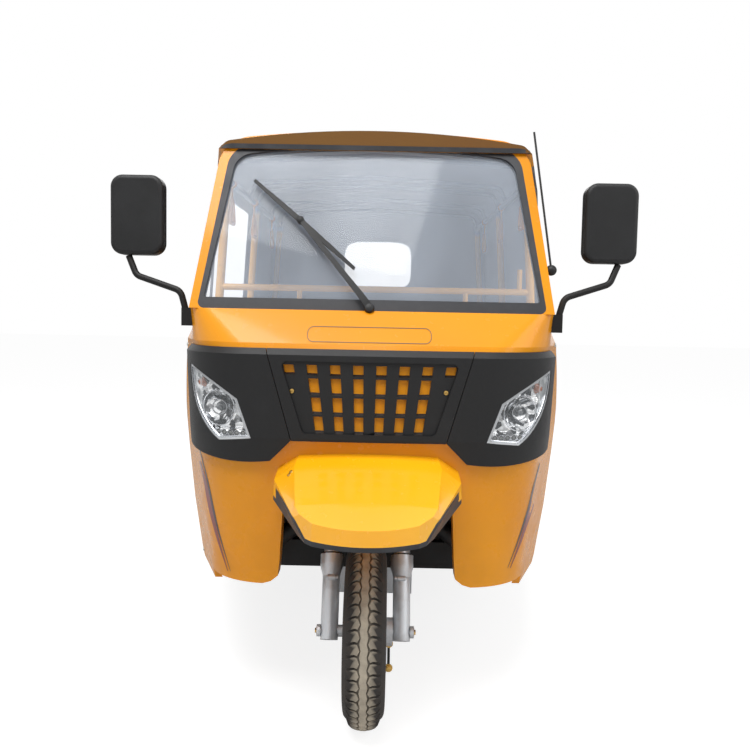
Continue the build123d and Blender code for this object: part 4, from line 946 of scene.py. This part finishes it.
def roundedLoop(left, right, low, high, corner, steps=6):
    loop = []
    for cx, cz, start in ((right - corner, high - corner, 0), (left + corner, high - corner, 90),
                          (left + corner, low + corner, 180), (right - corner, low + corner, 270)):
        for k in range(steps + 1):
            angle = math.radians(start + 90 * k / steps)
            loop.append((cx + corner * math.cos(angle), cz + corner * math.sin(angle)))
    return loop


def fineLoop(loop):  # the same loop with its two long edges cut into short ones
    out = []
    for (ax, az), (bx, bz) in zip(loop, loop[1:] + loop[:1]):
        count = nameFrame["cuts"] if abs(bx - ax) > 0.1 else 1
        out += [(ax + (bx - ax) * k / count, az + (bz - az) * k / count) for k in range(count)]
    return out


def makeNameFrame():  # an empty outline: no words
    keys = ("left", "right", "low", "high", "corner", "line")
    left, right, low, high, corner, inset = (nameFrame[key] for key in keys)
    outer = roundedLoop(left, right, low, high, corner)
    inner = roundedLoop(left + inset, right - inset, low + inset, high - inset, corner - inset)
    points = []
    for pair in zip(fineLoop(outer), fineLoop(inner)):
        for x, z in pair:
            spot, normal = fromFront(noseSkin, x, z)
            points.append(spot + normal * nameFrame["lift"])
    stock = Stock().take(points, gridFaces(len(points) // 2, 2, closedRows=True))
    return stock.piece("nameFrame", extra["plateLine"], "chassis")


makeNameFrame()

screws = {
    # pixels of the 750 wide render, and the head's radius
    "nose": (((204, 549), (188, 344), (555, 345), (534, 556)), 0.0055),
    "grille": (((292, 391), (446, 393)), 0.0065),
    "beak": (((289, 475), (291, 472)), 0.0050),
}


def makeScrews():
    for place, skin, material in (("nose", bodySkin, "zinc"), ("grille", bodySkin, "brass"),
                                  ("beak", skinOf("nose_fender"), "brass")):
        marks, radius = screws[place]
        spots = [touch(skin, shot["eye"], throughPixel(px, py)) for px, py in marks]
        fixHeads(place + "Screws", screwHead(radius), spots, extra[material], "chassis")


makeScrews()
print("nose done")


lamp = {
    # front view on the +x side: side and height
    "tip": (0.4855, 0.9630), "brow": (0.4120, 0.9210), "knee": (0.3510, 0.8810), "footIn": (0.3155, 0.7895),
    "footOut": (0.3930, 0.7805), "cheek": (0.4600, 0.8560),
    # side, height, radius and depth of the hollows
    "bowl": (0.4000, 0.8570, 0.0470, 0.034), "indicator": (0.4560, 0.9200, 0.0200, 0.013),
    "cups": (0.3300, 0.3475, 0.3650, 0.3825, 0.4000), "cupZ": 0.7935, "cupRadius": 0.0075, "cupDepth": 0.007,
    "lip": 0.0022, "barZ": 0.8065, "barHalf": 0.0022, "barRise": 0.004, "flute": 0.0009, "flutePitch": 0.0055,
    "fluteFrom": (0.43, 0.87), "behindLens": 0.013, "rings": 60,
    # radius and height of turned parts
    "bulb": [(0.0130, 0), (0.0120, 0.006), (0.0080, 0.009), (0.0080, 0.024), (0.0065, 0.029),
             (0.0020, 0.031)],
    "led": [(0.0046, 0), (0.0046, 0.002), (0.0034, 0.0042), (0.0012, 0.0052)],
    "well": [(0.0066, 0), (0.0066, 0.0012)],
    "amber": [(0.0100, 0), (0.0105, 0.006), (0.0080, 0.012), (0.0030, 0.015)],
    "edgeBead": 0.0024, "bowlBead": 0.0017, "hoodBead": 0.0016, "cupBead": 0.0009, "hood": (0.019, 0.020),
}
lensSkin = skinOf("headlamp_lenses")


def lampOutline():
    brow = arcThrough(lamp["tip"], lamp["brow"], lamp["knee"], 28)
    cheek = arcThrough(lamp["footOut"], lamp["cheek"], lamp["tip"], 44)
    line = brow[:-1]
    for a, b, count in ((lamp["knee"], lamp["footIn"], 24), (lamp["footIn"], lamp["footOut"], 20)):
        line += [(a[0] + (b[0] - a[0]) * k / count, a[1] + (b[1] - a[1]) * k / count) for k in range(count)]
    return line + cheek[:-1]


def bowlDepth(x, z, centreX, centreZ, radius, depth):
    away = math.hypot(x - centreX, z - centreZ) / radius
    if away < 1:
        return depth * (1 - away ** 2)
    return -lamp["lip"] * math.exp(-((away - 1) * radius / lamp["lip"]) ** 2)


def insertDepth(x, z):  # how far the bright lining of the lamp lies behind the lens
    depth = bowlDepth(x, z, *lamp["bowl"]) if z > lamp["barZ"] else 0
    spotX, spotZ, radius, _ = lamp["indicator"]
    if math.hypot(x - spotX, z - spotZ) < radius * 1.2 and depth <= 0:
        depth = max(depth, bowlDepth(x, z, *lamp["indicator"]))
    for cup in lamp["cups"]:
        if math.hypot(x - cup, z - lamp["cupZ"]) < lamp["cupRadius"] * 1.3:
            depth = bowlDepth(x, z, cup, lamp["cupZ"], lamp["cupRadius"], lamp["cupDepth"])
    fluteX, fluteZ = lamp["fluteFrom"]
    if depth <= 0 and z > fluteZ and x > fluteX:
        depth += lamp["flute"] * math.sin(2 * math.pi * z / lamp["flutePitch"])
    bar = lamp["barRise"] * math.exp(-((z - lamp["barZ"]) / lamp["barHalf"]) ** 2)
    return lamp["behindLens"] + depth - bar


def behindLens(side, x, z, depth):
    for k in range(20):  # past the lens's edge, its nearest part inward counts
        share, (bowlX, bowlZ) = k / 60, lamp["bowl"][:2]
        spot, _ = fromFront(lensSkin, side * (x + (bowlX - x) * share), z + (bowlZ - z) * share)
        if spot:
            return Vector((side * x, spot.y + depth, z))
    raise ValueError("no lens in front of this spot")


def makeLampInsert(side):
    outline, (centreX, centreZ) = lampOutline(), lamp["bowl"][:2]
    points = []
    for r in range(lamp["rings"]):
        share = 1 - r / lamp["rings"]
        for x, z in outline:
            px, pz = centreX + (x - centreX) * share, centreZ + (z - centreZ) * share
            points.append(behindLens(side, px, pz, insertDepth(px, pz)))
    points.append(behindLens(side, centreX, centreZ, insertDepth(centreX, centreZ)))
    size = len(outline)
    faces = gridFaces(lamp["rings"], size, closedColumns=True)
    last = (lamp["rings"] - 1) * size
    faces += [(last + k, last + (k + 1) % size, len(points) - 1) for k in range(size)]
    return points, faces


def bead(side, line, depth, radius, steps=6):  # a round wire along a line behind the lens
    path = [behindLens(side, x, z, lamp["behindLens"] + depth) for x, z in line]
    return swept(path, circle(radius, steps), closed=True, upright=Vector((0, 1, 0)))


def facingOut(side, x, z, depth):  # places a turned part so that it looks forward out of the lamp
    spot = behindLens(side, x, z, lamp["behindLens"] + depth)
    return Matrix.Translation(spot) @ Matrix.Rotation(math.radians(90), 4, "X")


def makeLampInsides():
    inserts, beads, bulbs, leds, amber, wells = (Stock() for _ in range(6))
    bowlX, bowlZ, bowlRadius, bowlDeep = lamp["bowl"]
    amberX, amberZ, _, amberDeep = lamp["indicator"]
    hoodRadius, hoodAhead = lamp["hood"]
    for side in (-1, 1):
        inserts.take(*makeLampInsert(side))
        beads.take(*bead(side, lampOutline(), -0.004, lamp["edgeBead"], 8))
        beads.take(*bead(side, circle(bowlRadius, 64, (bowlX, bowlZ)), -0.003, lamp["bowlBead"]))
        root = facingOut(side, bowlX, bowlZ, bowlDeep)
        bulbs.take(*turned(lamp["bulb"], 20), root)
        hood = [root.translation + Vector((x, -hoodAhead, z)) for x, z in circle(hoodRadius, 32)]
        beads.take(*swept(hood, circle(lamp["hoodBead"], 6), closed=True, upright=Vector((0, 1, 0))))
        for cup in lamp["cups"]:
            rim = circle(lamp["cupRadius"], 20, (cup, lamp["cupZ"]))
            beads.take(*bead(side, rim, -0.002, lamp["cupBead"]))
            wells.take(*turned(lamp["well"], 18), facingOut(side, cup, lamp["cupZ"], 0.0015))
            leds.take(*turned(lamp["led"], 14), facingOut(side, cup, lamp["cupZ"], 0.001))
        amber.take(*turned(lamp["amber"], 18), facingOut(side, amberX, amberZ, amberDeep))
    made = inserts.piece("lampInserts", finish["reflector"], "chassis", "reflector", sharp=24)
    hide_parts("headlamp_reflectors")
    beads.piece("lampBeads", finish["chrome_steel"], "chassis", "chrome_steel")
    bulbs.piece("lampBulbs", extra["bulb"], "chassis")
    leds.piece("lampLeds", extra["led"], "chassis")
    wells.piece("lampWells", extra["dial"], "chassis")
    amber.piece("indicatorBulbs", extra["amber"], "chassis")


makeLampInsides()
print("lamps done")


fork = {
    "rake": 25, "trail": 0.040, "legX": 0.098,
    # radius and height along the leg, or along the axle
    "bell": [(0.0235, 0.142), (0.0262, 0.155), (0.0320, 0.172), (0.0320, 0.186)],
    "seal": [(0.0240, 0.190), (0.0290, 0.194), (0.0290, 0.206), (0.0235, 0.210)],
    "sleeve": [(0.0228, 0.208), (0.0228, 0.222), (0.0240, 0.224), (0.0240, 0.230), (0.0226, 0.232),
               (0.0226, 0.290)],
    "boss": [(0.0020, -0.004), (0.0072, 0.002), (0.0072, 0.022), (0.0050, 0.023), (0.0050, 0.030)],
    "bossX": 0.108, "bossAhead": 0.0235, "bossUp": 0.140,
    "nut": [(0.0125, -0.009), (0.0125, 0.001), (0.0070, 0.0015), (0.0070, 0.005)],
}
brakeArm = {
    "path": [(0.0640, -1.190, 0.262), (0.0645, -1.196, 0.215), (0.0650, -1.200, 0.150)],
    "wide": 0.013, "thick": 0.006,
    "bolts": ((0.0650, -1.207, 0.222), (0.0650, -1.207, 0.154)), "bolt": 0.0075,
    "rod": [(0.0650, -1.212, 0.154), (0.0660, -1.185, 0.158), (0.0660, -1.120, 0.200)], "rodRadius": 0.0028,
}


def onFork(x, back, up):  # places a shape standing along the fork
    c, s = math.cos(math.radians(fork["rake"])), math.sin(math.radians(fork["rake"]))
    turn = Matrix(((1, 0, 0, 0), (0, c, s, 0), (0, -s, c, 0), (0, 0, 0, 1)))
    root = Vector((0, fork["trail"] * c - axleBehind, tyre["radius"] - fork["trail"] * s))
    return Matrix.Translation(root) @ turn @ Matrix.Translation((x, back, up))


def makeForkDetails():
    metal, seals, brass, arm = (Stock() for _ in range(4))
    low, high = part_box("front_axle")
    for side in (-1, 1):
        leg = onFork(side * fork["legX"], -fork["trail"], 0)
        metal.take(*turned(fork["bell"], 36), leg)
        metal.take(*turned(fork["sleeve"], 36), leg)
        seals.take(*turned(fork["seal"], 36), leg)
        boss = onFork(side * fork["bossX"], -fork["trail"] - fork["bossAhead"], fork["bossUp"])
        metal.take(*turned(fork["boss"], 20), boss @ Matrix.Rotation(-side * math.pi / 2, 4, "Y"))
        end = Matrix.Translation((high.x if side > 0 else low.x, -axleBehind, tyre["radius"]))
        brass.take(*turned(fork["nut"], 6), end @ Matrix.Rotation(side * math.pi / 2, 4, "Y"))
    arm.take(*swept(brakeArm["path"], slab(brakeArm["thick"], brakeArm["wide"])))
    forward = Matrix.Rotation(math.pi / 2, 4, "X")
    for spot in brakeArm["bolts"]:
        brass.take(*boltHead(brakeArm["bolt"]), Matrix.Translation(spot) @ forward)
    brass.take(*swept(brakeArm["rod"], circle(brakeArm["rodRadius"], 8)))
    metal.piece("forkCollars", finish["cast_aluminium"], "steering", "cast_aluminium", sharp=30)
    seals.piece("forkSeals", finish["rubber"], "steering", "rubber", sharp=30)
    brass.piece("axleNuts", extra["brass"], "steering", sharp=20)
    arm.piece("brakeArm", finish["black_paint"], "steering", "black_paint", sharp=30)


wheelNut = {"count": 5, "circle": 0.060, "radius": 0.0085}


def makeWheelNuts():
    for node, body, sides in (("front_rim", "front_wheel", (-1, 1)),
                              ("rear_rim_left", "rear_wheel_left", (1,)),
                              ("rear_rim_right", "rear_wheel_right", (-1,))):
        skin, (low, high) = skinOf(node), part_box(node)
        middle = (low + high) / 2
        spots = [touch(skin, middle + Vector((side * 0.3, y, z)), (-side, 0, 0))
                 for side in sides for y, z in circle(wheelNut["circle"], wheelNut["count"])]
        fixHeads(body + "Nuts", boltHead(wheelNut["radius"]), spots, extra["zinc"], body)


tailLens = {"margin": 0.006, "gap": 0.002, "pitch": 0.006, "foot": 0.002, "proud": 0.003, "rib": 0.0012,
            "rim": 0.0035, "rimInset": 0.002}


def ribbedLens(x0, x1, y, z0, z1):
    rows, foot, points = int((z1 - z0) / tailLens["pitch"]) * 4, tailLens["foot"], []
    for k in range(rows + 1):
        z = z0 + (z1 - z0) * k / rows
        out = y + tailLens["proud"] + tailLens["rib"] * abs(math.sin(math.pi * k / 4))
        points += [(x0, y - foot, z), (x0 + foot, out, z), (x1 - foot, out, z), (x1, y - foot, z)]
    return points, gridFaces(rows + 1, 4)


def makeTailLenses():
    red, amber, clear, edges = (Stock() for _ in range(4))
    margin, gap, inset = tailLens["margin"], tailLens["gap"], tailLens["rimInset"]
    for low, high in solidsOf("tail_lamps"):
        third = (high.z - low.z - 2 * margin - 2 * gap) / 3
        for k, stock in enumerate((clear, red, amber)):
            foot = low.z + margin + k * (third + gap)
            stock.take(*ribbedLens(low.x + margin, high.x - margin, high.y, foot, foot + third))
        left, right, bottom, top = low.x + inset, high.x - inset, low.z + inset, high.z - inset
        rim = [(x, high.y, z) for x, z in ((left, bottom), (right, bottom), (right, top), (left, top))]
        edges.take(*swept(rim, circle(tailLens["rim"], 8), closed=True, upright=Vector((0, 1, 0))))
    red.piece("tailRed", finish["red_lens"], "chassis", "red_lens")
    amber.piece("tailAmber", extra["amberLens"], "chassis")
    clear.piece("tailClear", extra["clearLens"], "chassis")
    edges.piece("tailEdges", finish["black_plastic"], "chassis", "black_plastic")


brow = {"half": 0.455, "steps": 60, "end": 0.462, "fade": 0.05, "low": 0.0005, "narrow": 0.004, "wide": 0.010,
        "lift": 0.0018, "searchFrom": 1560, "searchTo": 1700}  # the search is in millimetres


def makeBrow():  # black upper edge of the screen's seal, under the roof's brow
    skin, points = skinOf("cab_roof"), []
    for k in range(brow["steps"] + 1):
        x = -brow["half"] + 2 * brow["half"] * k / brow["steps"]
        heights = (h / 1000 for h in range(brow["searchFrom"], brow["searchTo"]))
        z = next(height for height in heights if fromFront(skin, x, height)[0])
        fade = min(1.0, (brow["end"] - abs(x)) / brow["fade"])
        for up in (brow["low"], brow["narrow"] + brow["wide"] * fade):
            spot, normal = fromFront(skin, x, z + up)
            points.append(spot + normal * brow["lift"])
    strip = Stock().take(points, gridFaces(brow["steps"] + 1, 2))
    strip.piece("sealBrow", finish["rubber"], "chassis", "rubber")


dial = {"radius": 0.043, "height": 0.0012, "rim": 0.044, "rimBead": 0.0026, "marks": 13, "markFrom": 225,
        "markStep": 22.5, "markIn": 0.031, "markOut": 0.038, "needle": (-0.020, -0.018)}


def makeDial():
    skin, (low, high) = skinOf("instruments"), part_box("instruments")
    along = Vector((0, math.sin(math.radians(fork["rake"])), math.cos(math.radians(fork["rake"]))))
    seat = standing(*touch(skin, (low + high) / 2 + along * 0.3, -along))
    face, edge, marks = (Stock() for _ in range(3))
    face.take(*turned([(dial["radius"], -0.001), (dial["radius"], dial["height"])], 40), seat)
    rim = [(x, y, 0.0016) for x, y in circle(dial["rim"], 48)]
    edge.take(*swept(rim, circle(dial["rimBead"], 8), closed=True), seat)
    for k in range(dial["marks"]):
        a = math.radians(dial["markFrom"] - dial["markStep"] * k)
        ends = [(r * math.cos(a), r * math.sin(a), 0.0022) for r in (dial["markIn"], dial["markOut"])]
        marks.take(*swept(ends, slab(0.0014, 0.0008)), seat)
    marks.take(*swept([(0, 0, 0.0028), (*dial["needle"], 0.0028)], slab(0.0018, 0.0008)), seat)
    face.piece("dialFace", extra["dial"], "steering")
    edge.piece("dialRim", finish["chrome_steel"], "steering", "chrome_steel")
    marks.piece("dialMarks", extra["dialMark"], "steering")


makeForkDetails()
makeWheelNuts()
makeTailLenses()
makeBrow()
makeDial()
print("details done")


wiper = {
    # side and height on the screen
    "pivot": (-0.006, 1.120), "elbow": (-0.203, 1.362), "tip": (-0.338, 1.478), "heel": (-0.050, 1.232),
    "cap": [(0.013, -0.024), (0.014, 0.004), (0.011, 0.010), (0.004, 0.012)],
    "hinge": [(0.010, -0.006), (0.011, 0.008), (0.007, 0.011)],
    "armWide": 0.021, "armTaper": 0.010, "blade": 0.008, "bladeBelly": 0.006,
}
screen = {"slope": 0.337, "footStation": 0.060, "footZ": 1.120}  # the rake of the windscreen


def onScreen(x, z, lift):  # a spot that stands off the windscreen
    slope = screen["slope"]
    length = math.hypot(1, slope)
    station = screen["footStation"] + slope * (z - screen["footZ"])
    return Vector((x, station - axleBehind - lift / length, z + lift * slope / length))


def makeWiper():
    outward, stock = Vector((0, -1, screen["slope"])).normalized(), Stock()
    (px, pz), elbow, tip, heel = wiper["pivot"], wiper["elbow"], wiper["tip"], wiper["heel"]
    stock.take(*turned(wiper["cap"], 20), standing(onScreen(px, pz, 0.020), outward))
    arm = smoothLine([onScreen(px, pz, 0.024), onScreen(px - 0.020, pz + 0.028, 0.027),
                      onScreen(px - 0.075, pz + 0.095, 0.026), onScreen(*elbow, 0.022)], 5)
    stock.take(*swept(arm, lambda t: slab(wiper["armWide"] - wiper["armTaper"] * t, 0.009 - 0.003 * t),
                      upright=outward))
    middle = [(a + b) / 2 for a, b in zip(tip, heel)]
    blade = smoothLine([onScreen(*tip, 0.010), onScreen(*middle, 0.013), onScreen(*heel, 0.010)], 8)
    width, belly = wiper["blade"], wiper["bladeBelly"]
    stock.take(*swept(blade, lambda t: slab(width + belly * math.sin(math.pi * t), 0.008), upright=outward))
    lip = [onScreen(*tip, 0.005), onScreen(*heel, 0.005)]
    stock.take(*swept(lip, slab(0.003, 0.009), upright=outward))
    stock.take(*turned(wiper["hinge"], 12), standing(onScreen(*elbow, 0.016), outward))
    made = stock.piece("wiperArm", finish["black_plastic"], "chassis", "black_plastic", sharp=40)
    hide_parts("wiper")


makeWiper()
print("wiper done")


light = {
    "ambient": 0.40, "size": 3.0,
    # place, aim and power of the lamps
    "keyLamp": ((-0.8, -3.0, 5.0), (0, -0.6, 0.9), 224.0),
    "fillLamp": ((3.4, -2.6, 3.0), (0, 0, 0.9), 48.0),
    "backLamp": ((0, 4.5, 3.6), (0, 0.6, 0.9), 70.4),
}
stageFloor = {"reach": 30, "plain": 0.75, "shown": 0.40, "glow": 0.82}  # what the camera sees glows white


def addLamp(name):
    place, aim, power = light[name]
    lampData = bpy.data.lights.new(name, "AREA")
    lampData.shape, lampData.energy = "RECTANGLE", power
    lampData.size = lampData.size_y = light["size"]
    made = bpy.data.objects.new(name, lampData)
    made.location = place
    made.rotation_mode = "QUATERNION"
    made.rotation_quaternion = (Vector(aim) - Vector(place)).to_track_quat("-Z", "Y")
    scene.collection.objects.link(made)


def setWorld():
    world = bpy.data.worlds.new("studio")
    world.use_nodes = True
    scene.world = world
    wire = Wire(world.node_tree)
    seen = [wire.add("LightPath", out="Is " + kind + " Ray") for kind in ("Camera", "Glossy", "Transmission")]
    shown = seen[0].larger(seen[1]).larger(seen[2])
    background = world.node_tree.nodes["Background"]
    background.inputs["Color"].default_value = (1, 1, 1, 1)
    wire.plug(background.inputs["Strength"], light["ambient"] + shown * (1 - light["ambient"]))


def addFloor():
    reach = stageFloor["reach"]
    corners = [(-reach, -reach, 0), (reach, -reach, 0), (reach, reach, 0), (-reach, reach, 0)]
    mesh = bpy.data.meshes.new("floor")
    mesh.from_pydata(corners, [], [(0, 1, 2, 3)])
    floor = bpy.data.objects.new("floor", mesh)
    scene.collection.objects.link(floor)
    material = bpy.data.materials.new("floorWhite")
    material.use_nodes = True
    tree = material.node_tree
    tree.nodes.remove(tree.nodes["Principled BSDF"])
    wire = Wire(tree)
    plain, shown = [wire.add("BsdfDiffuse", values={"Color": (*[stageFloor[key]] * 3, 1)})
                    for key in ("plain", "shown")]
    glow = wire.add("Emission", values={"Color": (1, 1, 1, 1), "Strength": stageFloor["glow"]})
    bright = wire.add("AddShader", values={0: shown, 1: glow})
    seen = wire.add("LightPath", out="Is Camera Ray")
    both = wire.add("MixShader", values={0: seen, 1: plain, 2: bright})
    wire.plug(tree.nodes["Material Output"].inputs["Surface"], both)
    mesh.materials.append(material)


setWorld()
addFloor()
for name in ("keyLamp", "fillLamp", "backLamp"):
    addLamp(name)
print("stage done")

bpy.context.view_layer.update()
